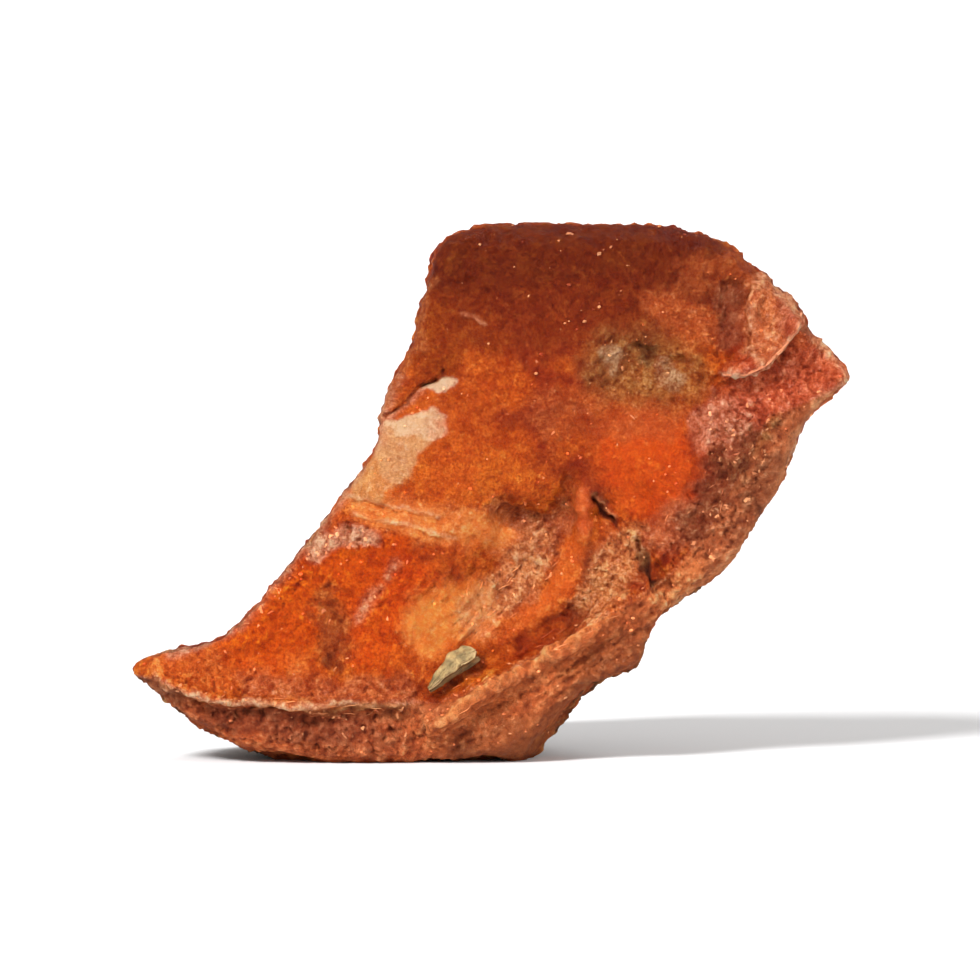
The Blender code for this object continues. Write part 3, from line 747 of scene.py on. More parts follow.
def relaxed(places, ends, rounds):
    """The places after each has moved to the middle of its neighbours, over and over."""
    count = np.bincount(ends.ravel(), minlength=len(places))[:, None]
    for _ in range(rounds):
        total = np.zeros_like(places)
        for axis in range(places.shape[1]):
            total[:, axis] += np.bincount(ends[:, 0], places[ends[:, 1], axis], len(places))
            total[:, axis] += np.bincount(ends[:, 1], places[ends[:, 0], axis], len(places))
        places = places * 0.4 + 0.6 * total / count
    return places


def hollowness(mesh, rounds):
    """How far each point of the skin lies below its surroundings, in millimetres."""
    places = read(mesh) / MM
    off = relaxed(places, edge_ends(mesh), rounds) - places
    return np.einsum("ij,ij->i", off, read(mesh, "normal"))


def copy_of_node():
    """A copy of the solid's mesh as a piece of its own, its loose triangles joined."""
    select_only(bpy.data.objects[NODE])
    bpy.ops.object.duplicate()
    body = bpy.context.object
    body.name = "bael_flesh_and_rind"
    body.data.name = body.name
    bpy.ops.object.mode_set(mode="EDIT")
    bpy.ops.mesh.select_all(action="SELECT")
    bpy.ops.mesh.remove_doubles(threshold=1e-6)
    bpy.ops.object.mode_set(mode="OBJECT")
    return body


def filled_up(places, ends):
    """The skin of the front brought forward where the solid's hollows are too wide."""
    soft = relaxed(places, ends, FILL_ROUNDS)[:, 1]
    flat = wander(places[:, [0, 2]] / MM + (0.0, DROP))
    share = np.zeros(len(places))
    for line, half_width, strength in FILLED:
        near = smoothstep(1.3, 0.7, distance_to(flat, line) / half_width)
        share = np.maximum(share, strength * near)
    share *= smoothstep(5.5, 4.5, places[:, 1] / MM - FACE_Y)
    places[:, 1] += share * np.minimum(soft - places[:, 1], 0.0)
    return places


def mesh_finely(body):
    """Small even faces all over."""
    even = body.modifiers.new("even", "REMESH")
    even.mode = "VOXEL"
    even.voxel_size = BODY_VOXEL * MM
    apply(body)
    mesh = body.data
    places = relaxed(read(mesh), edge_ends(mesh), RELAX_ROUNDS)
    move(mesh, filled_up(places, edge_ends(mesh)))
    bpy.ops.object.mode_set(mode="EDIT")
    bpy.ops.mesh.select_all(action="SELECT")
    bpy.ops.mesh.subdivide(number_cuts=1, smoothness=0.5)
    bpy.ops.object.mode_set(mode="OBJECT")


def thin_out(body):
    """Fewer faces where the skin is plain, with the front kept the finest."""
    mesh = body.data
    count = sum(len(face.vertices) - 2 for face in mesh.polygons)
    group = body.vertex_groups.new(name="hidden")
    behind = np.clip(read(mesh, "normal")[:, 1] * 0.5 + 0.5, 0, 1)
    for index, share in enumerate(behind):
        group.add([index], 0.35 + 0.65 * share, "REPLACE")
    fewer = body.modifiers.new("fewer", "DECIMATE")
    fewer.ratio = BODY_TRIANGLES / count
    fewer.vertex_group = group.name
    apply(body)
    body.vertex_groups.clear()


class Points:
    """Each point of the skin: its place, where that is as drawn, and its share of each skin."""

    def __init__(self, mesh):
        self.places = read(mesh) / MM
        self.flat = self.places[:, [0, 2]] + (0.0, DROP)
        self.drawn = wander(self.flat)
        self.deep = self.places[:, 1] - FACE_Y
        self.from_seeds = np.min([distance_to(self.flat, line) for line in SEEDS], axis=0)
        self.find_front(mesh)
        self.find_rind(mesh)
        self.stray = np.stack([rough(self.places, *STRAY_NOISE, seed) for seed in STRAY_SEEDS], axis=1)
        self.find_torn()

    def find_front(self, mesh):
        """The cut face that the photograph shows, and a wider margin round it."""
        facing = -read(mesh, "normal")[:, 1]
        front = smoothstep(*FRONT_FACING, facing) * smoothstep(*FRONT_DEPTH, self.deep)
        around = relaxed(front[:, None], edge_ends(mesh), FRONT_ROUNDS)[:, 0]
        self.front = np.maximum(front, smoothstep(*FRONT_SHARE, around))
        self.margin = smoothstep(*MARGIN_SHARE, around)
        self.back = 1 - self.front

    def find_rind(self, mesh):
        """Outside the rim line on the front, and behind it where neither cut reaches."""
        left = distance_to(self.flat, THIN_LEFT_EDGE)
        top = distance_to(self.flat, BROKEN_TOP)
        left_cut = EDGE_THICKNESS + LEFT_CUT_SLOPE * left
        cuts = np.minimum(left_cut, TOP_THICKNESS + TOP_CUT_SLOPE * top)
        outside_rim = smoothstep(*RIM_SOFTNESS, height_over(self.drawn, RIM_LINE))
        buried = smoothstep(*BURIED_DEPTH, cuts - self.deep)[:, None]
        buried = relaxed(buried, edge_ends(mesh), BURIED_ROUNDS)[:, 0]
        buried = smoothstep(*BURIED_SHARE, buried) * self.back
        buried *= smoothstep(*CLEAR_OF_SEEDS, self.from_seeds)
        buried *= smoothstep(RIND_TOP + 1, RIND_TOP - 1, self.flat[:, 1])
        self.rind = np.maximum(outside_rim * self.front, buried)
        self.flesh = 1 - self.rind

    def find_torn(self):
        """Where the skin is calm, where it is torn, and the height of its crumbly grain."""
        self.calm = np.zeros(len(self.places))
        for line, half_width, strength in CALM.values():
            near = distance_to(self.drawn, line) / half_width
            self.calm = np.maximum(self.calm, strength * smoothstep(1.3, 0.7, near))
        torn = np.full(len(self.places), TORN_ANYWHERE)
        strayed = self.drawn + PATCH_STRAY * self.stray
        for line, half_width, strength in TORN.values():
            share = smoothstep(1.2, 0.6, distance_to(strayed, line) / half_width)
            torn = np.maximum(torn, strength * share)
        torn *= 1 - self.calm
        on_cut, on_rind = TORN_BEHIND
        behind = on_cut * self.flesh + on_rind * self.rind
        self.torn = self.front * torn + self.back * behind
        self.crest = 0.65 * grains(self.places, GRAIN_SIZE, GRAIN_SEED)
        self.crest += 0.5 * streaks(self.places, *GRAIN_STREAKS)


def where(share, places, form, *sizes):
    """The form worked out only for the places whose share counts, and faded by it."""
    heights = np.zeros(len(places))
    inside = share > 0.02
    heights[inside] = form(places[inside], *sizes) * share[inside]
    return heights


def rind_plates(places, on_rind):
    """How far each point of the rind is from the cracks between its plates, 0 to about 1."""
    sway = np.stack([rough(places, *PLATE_NOISE, seed) for seed in PLATE_SEEDS], axis=1)
    return where(on_rind, places * PLATE_STRETCH + 0.8 * sway, cells, PLATE_SIZE, 2.0)


def rind_lines(places):
    """How far each point is from the nearest fine wrinkle of the rind, 0 to about 0.5."""
    wrinkles = [np.abs(rough(places * WRINKLE_STRETCH, *noise_used)) for noise_used in WRINKLES]
    return np.minimum(*wrinkles)


def raise_front(lift, points, grain):
    """Adds the strokes, ledges, streaks and broken crystal that are drawn on the front."""
    places, front, drawn = points.places, points.front, points.drawn
    strayed = drawn + EDGE_STRAY * points.stray
    uneven = np.clip(grain, -1, 1)
    for line, half_width, height in STROKES.values():
        near = distance_to(strayed, line) / half_width
        lift += front * height * (0.75 + 0.5 * uneven) * np.exp(-(near**2))
    for line, height, fade in LEDGES.values():
        left, share = beside(strayed, line)
        step = smoothstep(-LEDGE_WIDTH, 0.0, left) * smoothstep(fade, 0.0, left)
        ends = smoothstep(0.0, LEDGE_ENDS, share) * smoothstep(1.0, 1 - LEDGE_ENDS, share)
        lift += front * height * step * ends * (0.8 + 0.4 * uneven)
    for line, half_width, turn, length, thick, height in STREAKS.values():
        share = front * smoothstep(1.0, 0.5, distance_to(drawn, line) / half_width)
        lift += height * where(share, places, streaks, length, thick, turn, turn)
    for line, half_width, size, height in CRYSTAL.values():
        share = front * smoothstep(1.0, 0.6, distance_to(strayed, line) / half_width)
        share *= smoothstep(-0.5, 0.3, grain)
        lift += height * where(share, places, crystals, size, size)


def raise_rind(lift, places, on_rind):
    """Sinks the cracks and wrinkles of the rind, and roughens its plates."""
    plates = rind_plates(places, on_rind)
    lift += CRACK_DEPTH * on_rind * (smoothstep(0.0, CRACK_WIDTH, plates) - 1)
    lift -= WRINKLE_DEPTH * on_rind * smoothstep(WRINKLE_WIDTH, 0.0, rind_lines(places))
    lift += 0.07 * where(on_rind, places * (1.0, 1.0, 2.2), rough, 1.5, 4, 14.0)
    lift += 0.03 * where(on_rind, places, crystals, 0.6, 2.0)


def raise_cut(lift, places, on_cut, grain):
    """Draws the fibres of the hidden cuts, and cracks them."""
    for height, *streak in CUT_STREAKS:
        lift += height * where(on_cut, places, streaks, *streak)
    lift += 0.05 * where(on_cut, places, crystals, 0.7, 6.0)
    cracks = smoothstep(0.07, 0.0, np.abs(rough(places, 4.5, 4, 51.0)))
    lift -= 0.2 * on_cut * (cracks * smoothstep(-0.1, 0.3, grain))


def skin_relief(points):
    """Height in millimetres to add to each point of the skin, along its normal."""
    places, back, from_seeds = points.places, points.back, points.from_seeds
    grain = rough(places, 1.3, 4, 3.0)
    ridged = 1 - 2.2 * np.abs(rough(places, 1.7, 3, 9.0))
    lift = points.flesh * (0.4 + 0.6 * points.front) * (0.07 * grain + 0.06 * ridged)
    lift += 0.03 * rough(places, 0.5, 2, 5.0)
    raise_front(lift, points, grain)
    lift += GRAIN_HEIGHT * points.torn * np.clip(points.crest, -0.7, 0.7)
    raise_rind(lift, places, back * points.rind)
    raise_cut(lift, places, back * points.flesh, grain)

    lift *= 1 - 0.8 * back * smoothstep(2.0, 1.2, from_seeds)
    in_socket = np.clip(1 - (from_seeds / SOCKET_HALF_WIDTH) ** 2, 0, 1)
    lift -= SEED_PRESSED * back * in_socket**0.8
    collar = np.exp(-(((from_seeds - COLLAR_FROM_SEED) / COLLAR_HALF_WIDTH) ** 2))
    return lift + SEED_COLLAR * back * collar * (0.6 + 0.8 * np.clip(grain, -1, 1))


def distance_to_rind(places, on_rind):
    """How far each point is from the rind's outer skin, which a share of its points stands for."""
    skin = places[on_rind > 0.9][::6]
    tree = KDTree(len(skin))
    for index, place in enumerate(skin):
        tree.insert(place, index)
    tree.balance()
    return np.array([tree.find(place)[2] for place in places])


def toward(paint, colour, share):
    """The paint, with that share of the way to the colour gone at each point."""
    return paint + (np.array(colour) - paint) * share


def tinted(paint, factor, share):
    """The paint, multiplied by the factor for that share of it."""
    return paint * (1 + (np.array(factor) - 1) * share)


def laid_on(paint, drawn, patches, share_of_place):
    """Lays each patch's colour on the paint, in turn."""
    for line, half_width, soft, colour, strength in patches.values():
        near = distance_to(drawn, line) / half_width
        share = smoothstep(1 + soft / 2, 1 - soft / 2, near) * strength * share_of_place
        paint = toward(paint, colour, share[:, None])
    return paint


def flesh_paint(points, tone):
    """Flesh, deep and golden by turns; behind, it is darker and streaked along its fibres."""
    flesh = toward(np.array(FLESH), FLESH_DEEP, smoothstep(0.0, 0.6, tone))
    flesh = toward(flesh, FLESH_GOLD, smoothstep(-0.1, -0.7, tone))
    on_back = points.back[:, None]
    flesh = toward(flesh, flesh * np.array(CUT_FLESH) / np.array(FLESH), on_back)
    hue = rough(points.places, 2.2, 4, 61.0)[:, None]
    flesh = tinted(flesh, CUT_DARKER, smoothstep(0.1, 0.5, hue) * on_back)
    flesh = tinted(flesh, CUT_PALER, smoothstep(-0.1, -0.5, hue) * on_back)
    for streak in CUT_FIBRES:
        fibre = where(points.back * points.flesh, points.places, streaks, *streak)[:, None]
        flesh = tinted(flesh, CUT_PALER, FIBRE_PAINT * smoothstep(0.1, 0.35, fibre))
        flesh = tinted(flesh, CUT_DARKER, FIBRE_PAINT * smoothstep(-0.1, -0.35, fibre))
    return flesh


def crust_paint(points, tone):
    """Rind, tan on its plates and dark in its cracks and wrinkles."""
    on_back = points.back[:, None]
    plates = rind_plates(points.places, points.back * points.rind)[:, None]
    wrinkles = rind_lines(points.places)[:, None]
    tan = smoothstep(0.08, 0.4, plates) * smoothstep(-0.7, 0.1, tone)
    crust = toward(np.array(RIND), RIND_TAN, tan) * (1 + 0.3 * tone)
    crust = toward(crust, RIND_DARK, smoothstep(CRACK_WIDTH, 0.03, plates) * on_back)
    return toward(crust, RIND_DARK, 0.85 * smoothstep(0.09, 0.03, wrinkles) * on_back)


def paint_cut(paint, points, tone):
    """The paint, with the rind seen on the hidden cuts, the line inside it and the sockets."""
    on_cut = points.back * points.flesh
    from_rind = distance_to_rind(points.places, points.back * points.rind) + 0.4 * points.stray[:, 0]
    band = smoothstep(RIND_THICKNESS + 0.3, RIND_THICKNESS - 0.2, from_rind) * on_cut
    paint = toward(paint, np.array(RIND_ON_CUT) * (1 + 0.3 * tone), band[:, None])
    line = np.exp(-(((from_rind - RIND_THICKNESS) / PALE_LINE_WIDTH) ** 2)) * on_cut
    paint = toward(paint, PALE_LINE, 0.7 * line[:, None])
    socket = smoothstep(*SOCKET_EDGE, points.from_seeds + 0.5 * points.stray[:, 1]) * on_cut
    return toward(paint, SOCKET, 0.85 * socket[:, None])


def paint_pale_and_lit_edges(paint, points):
    """The paint, with the pale edges and the painted highlights along edges and margins on it, broken here
    and there.
    """
    stray = points.stray
    edges = [(points.drawn, edge) for edge in PALE_EDGES_AND_HIGHLIGHTS.values()]
    edges += [(points.flat, edge) for edge in MARGIN_HIGHLIGHTS.values()]
    for at, (line, half_width, colour, strength) in edges:
        near = distance_to(at + EDGE_STRAY * stray, line) / half_width
        share = np.exp(-(near**2)) * strength * points.margin
        share *= np.clip(0.75 + 0.9 * stray[:, 0], 0, 1)
        paint = toward(paint, colour, share[:, None])
    return paint


def painted(points):
    """The colour of each point of the skin, from its place."""
    strayed = points.drawn + PATCH_STRAY * points.stray
    tone = rough(points.places, 3.0, 5, 31.0)[:, None]
    paint = laid_on(flesh_paint(points, tone), strayed, FRONT_PATCHES, points.front)
    crust = laid_on(crust_paint(points, tone), strayed, RIM_PATCHES, points.margin)
    paint = toward(paint, crust, points.rind[:, None])
    paint = paint_pale_and_lit_edges(paint_cut(paint, points, tone), points)
    # Paler on the crests of the grain and darker in its gaps: partly flecks of the skin, partly painted
    # highlight and shade.
    pale = 0.85 * points.torn * smoothstep(0.05, 0.5, points.crest)
    dark = 0.8 * points.torn * smoothstep(-0.05, -0.5, points.crest)
    paint = tinted(tinted(paint, CREST_TINT, pale[:, None]), GAP_TINT, dark[:, None])
    return np.minimum(paint, PALEST)


def keep(mesh, name, values):
    """Stores one number or one colour for each point of the mesh."""
    if values.ndim == 1:
        attribute = mesh.attributes.new(name, "FLOAT", "POINT")
        attribute.data.foreach_set("value", values.astype(np.float32))
        return
    colours = np.concatenate([np.clip(values, 0, 1), np.ones((len(values), 1))], axis=1)
    attribute = mesh.attributes.new(name, "FLOAT_COLOR", "POINT")
    attribute.data.foreach_set("color", colours.astype(np.float32).ravel())


def work_skin(body):
    """Moves the skin, keeps it in the solid's box and flat below, and paints it."""
    mesh = body.data
    points = Points(mesh)
    places = read(mesh) + read(mesh, "normal") * (skin_relief(points) * MM)[:, None]
    places[read(mesh)[:, 2] < FLAT_BELOW * MM, 2] = 0.0
    move(mesh, in_box(places))
    keep(mesh, "paint", painted(points))
    for name, (rounds, full) in HOLLOWS.items():
        keep(mesh, name, np.clip(hollowness(mesh, rounds) / full, -1, 1))
    keep(mesh, "rind", points.rind)
    keep(mesh, "torn", points.torn)
    keep(mesh, "calm", points.calm * points.front)
    thin_out(body)
    move(mesh, in_box(read(mesh)))


# What a material lays on its paint, from coarse to fine. A noise: its size along each axis in
# millimetres, its detail, its turn about y in degrees, its roughness and how far it is bent.
# Then its marks: the noise at which one starts and is full, its strength, and what it
# multiplies the colour by.
FLESH_LAYERS = {
    "mottle": (
        (1.1, 1.1, 1.1),
        8.0,
        0,
        0.7,
        0.8,
        ((0.5, 0.66, 0.9, (0.72, 0.45, 0.36)), (0.48, 0.32, 0.9, (1.18, 1.5, 1.7))),
    ),
    "fibre": (
        (1.0, 0.5, 0.1),
        4.0,
        -62,
        0.7,
        2.2,
        ((0.53, 0.68, 0.8, (1.2, 1.6, 1.9)), (0.46, 0.32, 0.8, (0.76, 0.52, 0.44))),
    ),
    "grit": (
        (0.34, 0.34, 0.34),
        6.0,
        0,
        0.8,
        0.6,
        ((0.51, 0.6, 0.9, (0.74, 0.5, 0.42)), (0.49, 0.4, 0.9, (1.18, 1.5, 1.9))),
    ),
    "scuff": ((0.8, 0.4, 0.09), 3.0, -38, 0.75, 3.0, ((0.55, 0.64, 0.8, (1.3, 2.2, 4.5)),)),
    "fine": (
        (0.14, 0.14, 0.14),
        4.0,
        0,
        0.75,
        0.0,
        ((0.51, 0.62, 0.9, (0.68, 0.42, 0.34)), (0.49, 0.38, 0.9, (1.25, 1.6, 2.0))),
    ),
    # Pale flecks: dust, and painted glints.
    "fleck": ((0.24, 0.24, 0.24), 3.0, 0, 0.8, 0.5, ((0.58, 0.66, 0.9, (1.35, 2.4, 5.0)),)),
}
RIND_LAYERS = {
    "mottle": (
        (0.9, 0.9, 0.9),
        8.0,
        0,
        0.75,
        0.6,
        ((0.5, 0.66, 0.9, (0.55, 0.46, 0.42)), (0.48, 0.32, 0.9, (1.35, 1.5, 1.6))),
    ),
    "fibre": (
        (0.9, 0.4, 0.1),
        4.0,
        -78,
        0.7,
        1.6,
        ((0.53, 0.68, 0.8, (1.35, 1.5, 1.6)), (0.46, 0.32, 0.8, (0.6, 0.5, 0.45))),
    ),
    "grit": (
        (0.36, 0.36, 0.36),
        6.0,
        0,
        0.8,
        0.6,
        ((0.51, 0.64, 0.9, (0.56, 0.44, 0.4)), (0.48, 0.36, 0.9, (1.35, 1.5, 1.55))),
    ),
    "fine": ((0.12, 0.12, 0.12), 4.0, 0, 0.75, 0.0, ((0.5, 0.7, 0.8, (0.5, 0.42, 0.4)),)),
}
SHRED_LAYERS = {
    "fine": (
        (0.12, 0.12, 0.12),
        4.0,
        0,
        0.75,
        0.0,
        ((0.5, 0.66, 0.8, (0.55, 0.45, 0.42)), (0.48, 0.36, 0.7, (1.25, 1.4, 1.5))),
    ),
}
# The same for the hollows and crests of the mesh: painted shade in the hollows, painted highlight on the
# crests.
FLESH_SHADES = (
    ("hollow", 0.1, 1.0, 0.8, (0.5, 0.34, 0.28)),
    ("hollow", -0.1, -0.9, 0.8, (1.3, 1.7, 2.0)),
    ("deep", 0.1, 1.0, 0.7, (0.5, 0.36, 0.32)),
)
RIND_SHADES = (
    ("hollow", 0.1, 1.0, 0.8, (0.42, 0.34, 0.3)),
    ("hollow", -0.1, -0.9, 0.8, (1.35, 1.5, 1.6)),
    ("deep", 0.1, 1.0, 0.6, (0.5, 0.42, 0.4)),
)
# How far each noise raises the surface, in millimetres, from fine to coarse.
FLESH_BUMPS = {"fine": 0.08, "grain": 0.1, "grit": 0.1, "scuff": 0.06, "fibre": 0.08, "mottle": 0.16}
RIND_BUMPS = {"fine": 0.08, "grain": 0.1, "grit": 0.12, "fibre": 0.08, "mottle": 0.16}
FLECK_SIZE = 0.26
SWAY_LENGTH = 1.6
RIND_FLECK = srgb(236, 180, 136)


class Nodes:
    """A short way to add and join a material's nodes."""

    def __init__(self, name):
        self.material = bpy.data.materials.new(name)
        self.material.use_nodes = True
        self.tree = self.material.node_tree
        self.shader = self.tree.nodes["Principled BSDF"]

    def add(self, kind, **settings):
        node = self.tree.nodes.new(kind)
        for name, value in settings.items():
            if hasattr(node, name):
                setattr(node, name, value)
            else:
                self.put(node.inputs[name.replace("_", " ")], value)
        return node

    def put(self, socket, value):
        if isinstance(value, bpy.types.NodeSocket):
            self.tree.links.new(value, socket)
        else:
            socket.default_value = value

    def attribute(self, name):
        return self.add("ShaderNodeAttribute", attribute_name=name)

    def place(self, scale, turn=0, warp=0.0):
        """Object coordinates, turned about y and measured in millimetres of scale on each axis."""
        at = self.add("ShaderNodeTexCoord").outputs["Object"]
        if warp:
            sway = self.add("ShaderNodeTexNoise", Scale=1 / (SWAY_LENGTH * MM), Detail=2.0).outputs["Color"]
            bent = self.add("ShaderNodeVectorMath", operation="MULTIPLY_ADD")
            self.put(bent.inputs[0], sway)
            self.put(bent.inputs[1], (warp * MM,) * 3)
            self.put(bent.inputs[2], at)
            at = bent.outputs["Vector"]
        mapping = self.add("ShaderNodeMapping", vector_type="TEXTURE")
        self.put(mapping.inputs["Vector"], at)
        self.put(mapping.inputs["Rotation"], (0.0, math.radians(turn), 0.0))
        self.put(mapping.inputs["Scale"], [length * MM for length in scale])
        return mapping.outputs["Vector"]

    def noise(self, scale, detail=4.0, turn=0, roughness=0.6, warp=0.0):
        node = self.add("ShaderNodeTexNoise", Scale=1.0, Detail=detail, Roughness=roughness)
        self.put(node.inputs["Vector"], self.place(scale, turn, warp))
        return node.outputs["Fac"]

    def spread(self, value, low, high, to_low, to_high):
        node = self.add("ShaderNodeMapRange", interpolation_type="SMOOTHSTEP")
        names = ("Value", "From Min", "From Max", "To Min", "To Max")
        for name, number in zip(names, (value, low, high, to_low, to_high)):
            self.put(node.inputs[name], number)
        return node.outputs["Result"]

    def math(self, operation, first, second=0.0):
        node = self.add("ShaderNodeMath", operation=operation)
        self.put(node.inputs[0], first)
        self.put(node.inputs[1], second)
        return node.outputs["Value"]

    def mix(self, share, first, second, blend="MIX"):
        node = self.add("ShaderNodeMix", data_type="RGBA", blend_type=blend)
        self.put(node.inputs["Factor"], share)
        colours = [socket for socket in node.inputs if socket.type == "RGBA"]
        for socket, colour in zip(colours, (first, second)):
            self.put(socket, colour if isinstance(colour, bpy.types.NodeSocket) else (*colour, 1.0))
        return next(socket for socket in node.outputs if socket.type == "RGBA")

    def tint(self, share, colour, factor):
        """The colour, multiplied by the factor for that share of it."""
        return self.mix(share, colour, factor, "MULTIPLY")

    def limit(self, red, limits):
        """A share that grows with the red from the first limit to the second."""
        return self.spread(red, 0.0, 1.0, *limits)

    def kept_warm(self, colour):
        """The colour with its green held under its red, and its blue under its green."""
        parts = self.add("ShaderNodeSeparateColor")
        self.put(parts.inputs["Color"], colour)
        red, green, blue = parts.outputs
        green = self.math("MINIMUM", green, self.math("MULTIPLY", red, self.limit(red, GREEN_LIMIT)))
        blue = self.math("MINIMUM", blue, self.math("MULTIPLY", green, self.limit(red, BLUE_LIMIT)))
        whole = self.add("ShaderNodeCombineColor")
        for socket, value in zip(whole.inputs, (red, green, blue)):
            self.put(socket, value)
        return self.mix(1.0, whole.outputs["Color"], PALEST, "DARKEN")

    def layered(self, colour, layers, lively=None):
        """The colour with each layer's marks on it, and the noises that they come from."""
        noises = {}
        for name, (scale, detail, turn, roughness, warp, marks) in layers.items():
            noises[name] = self.noise(scale, detail, turn, roughness, warp)
            for start, full, strength, factor in marks:
                share = self.spread(noises[name], start, full, 0.0, strength)
                if lively is not None and factor[0] < 1:
                    share = self.math("MULTIPLY", share, lively)
                colour = self.tint(share, colour, factor)
        return colour, noises

    def shaded(self, colour, shades):
        """The colour, with painted shade in the hollows of the skin and painted highlight on its crests."""
        for name, start, full, strength, factor in shades:
            depth = self.attribute(name).outputs["Fac"]
            colour = self.tint(self.spread(depth, start, full, 0.0, strength), colour, factor)
        return colour

    def torn_flecks(self, colour):
        """Fine flecks where the skin is torn: dust and painted glints on the bumps, painted shade between;
        and the noise that is their height.
        """
        torn = self.attribute("torn").outputs["Fac"]
        grain = self.noise((FLECK_SIZE,) * 3, detail=5.0, roughness=0.85, warp=0.4)
        for start, full, factor in ((0.53, 0.64, (1.25, 1.8, 2.4)), (0.47, 0.37, (0.6, 0.44, 0.4))):
            share = self.spread(grain, start, full, 0.0, 1.0)
            colour = self.tint(self.math("MULTIPLY", share, torn), colour, factor)
        return colour, grain

    def bump(self, height, distance, under=None):
        node = self.add("ShaderNodeBump", Strength=1.0, Distance=distance * MM)
        self.put(node.inputs["Height"], height)
        if under is not None:
            self.put(node.inputs["Normal"], under)
        return node.outputs["Normal"]

    def rough_surface(self, noises, bumps):
        """A normal bent by each noise in turn."""
        surface = None
        for name, height in bumps.items():
            surface = self.bump(noises[name], height, under=surface)
        return surface

    def glow_under(self, weight, reach, length):
        """Light that goes a little way in and comes out warm."""
        self.put(self.shader.inputs["Subsurface Weight"], weight)
        self.put(self.shader.inputs["Subsurface Radius"], reach)
        self.put(self.shader.inputs["Subsurface Scale"], length * MM)


def flesh_material():
    """Dried gummy flesh: mottled orange and streaked, with painted shade in its hollows and painted
    highlight on its crests.
    """
    nodes = Nodes("dried_bael_flesh")
    lively = nodes.math("SUBTRACT", 1.0, nodes.attribute("calm").outputs["Fac"])
    paint = nodes.attribute("paint").outputs["Color"]
    colour, noises = nodes.layered(paint, FLESH_LAYERS, lively)
    colour = nodes.shaded(colour, FLESH_SHADES)
    colour, noises["grain"] = nodes.torn_flecks(colour)
    nodes.put(nodes.shader.inputs["Base Color"], nodes.kept_warm(colour))

    nodes.put(nodes.shader.inputs["Roughness"], nodes.spread(noises["mottle"], 0.35, 0.7, 0.55, 0.28))
    nodes.glow_under(0.12, (1.0, 0.3, 0.08), 0.8)
    nodes.put(nodes.shader.inputs["Specular IOR Level"], 0.12)
    nodes.put(nodes.shader.inputs["Normal"], nodes.rough_surface(noises, FLESH_BUMPS))
    return nodes.material


def rind_material():
    """Woody rind: brown and granular, darker in its wrinkles and hollows as painted shade, paler tan on its
    crests as painted highlight.
    """
    nodes = Nodes("dried_bael_rind")
    paint = nodes.attribute("paint").outputs["Color"]
    colour, noises = nodes.layered(paint, RIND_LAYERS)
    colour = nodes.shaded(colour, RIND_SHADES)
    fleck = nodes.noise((0.2, 0.2, 0.2), detail=3.0, roughness=0.8, warp=0.5)
    colour = nodes.mix(nodes.spread(fleck, 0.62, 0.7, 0.0, 0.55), colour, RIND_FLECK)
    colour, noises["grain"] = nodes.torn_flecks(colour)
    nodes.put(nodes.shader.inputs["Base Color"], nodes.kept_warm(colour))

    nodes.put(nodes.shader.inputs["Roughness"], nodes.spread(noises["mottle"], 0.35, 0.7, 0.8, 0.5))
    nodes.put(nodes.shader.inputs["Specular IOR Level"], 0.15)
    nodes.put(nodes.shader.inputs["Normal"], nodes.rough_surface(noises, RIND_BUMPS))
    return nodes.material


def give_materials(body):
    """Flesh all over, and rind on the faces that are mostly rind."""
    mesh = body.data
    mesh.materials.clear()
    mesh.materials.append(flesh_material())
    mesh.materials.append(rind_material())
    rind = np.empty(len(mesh.vertices), np.float32)
    mesh.attributes["rind"].data.foreach_get("value", rind)
    for face in mesh.polygons:
        corners = face.vertices
        face.material_index = int(sum(rind[index] for index in corners) > 0.5 * len(corners))
        face.use_smooth = True


def stands_for(piece):
    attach(piece, "root")
    return piece


def build_body():
    body = copy_of_node()
    mesh_finely(body)
    work_skin(body)
    give_materials(body)
    stands_for(body)
    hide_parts(NODE)
    return body


class Skin:
    """The body's finished skin, to lay small pieces on."""

    def __init__(self, body):
        mesh = body.data
        self.corners = [tuple(face.vertices) for face in mesh.polygons]
        self.tree = BVHTree.FromPolygons([vertex.co for vertex in mesh.vertices], self.corners)
        self.places = read(mesh)
        self.normals = read(mesh, "normal")
        paint = np.empty(len(mesh.vertices) * 4, np.float32)
        mesh.attributes["paint"].data.foreach_get("color", paint)
        self.paint = paint.reshape(-1, 4)[:, :3]

    def front(self, x, z):
        """The skin's place and normal at a drawn place on the front."""
        drawn = np.array([(x, z)], float)
        flat = drawn
        for _ in range(4):
            flat = flat + drawn - wander(flat)
        x, z = flat[0]
        start = Vector((x * MM, -0.05, (z - DROP) * MM))
        return self.tree.ray_cast(start, Vector((0, 1, 0)))[:2]

    def behind(self, x, z):
        """The same on the far side, with no straying."""
        start = Vector((x * MM, 0.05, (z - DROP) * MM))
        return self.tree.ray_cast(start, Vector((0, -1, 0)))[:2]

    def nearest(self, place):
        return self.tree.find_nearest(place)[:2]

    def colour_at(self, place):
        face = self.tree.find_nearest(place)[2]
        return self.paint[self.corners[face][0]]


def along(line, share):
    """The point that share of the way along a line of straight runs."""
    line = np.asarray(line, float)
    lengths = np.concatenate([[0], np.cumsum(np.linalg.norm(np.diff(line, axis=0), axis=1))])
    walked = share * lengths[-1]
    return np.array([np.interp(walked, lengths, line[:, axis]) for axis in range(line.shape[1])])


def small_piece(name, material):
    """Names the newly added piece, gives it its material and lets it ride with the body."""
    piece = bpy.context.object
    piece.name = name
    piece.data.name = name
    piece.data.materials.append(material)
    return stands_for(piece)


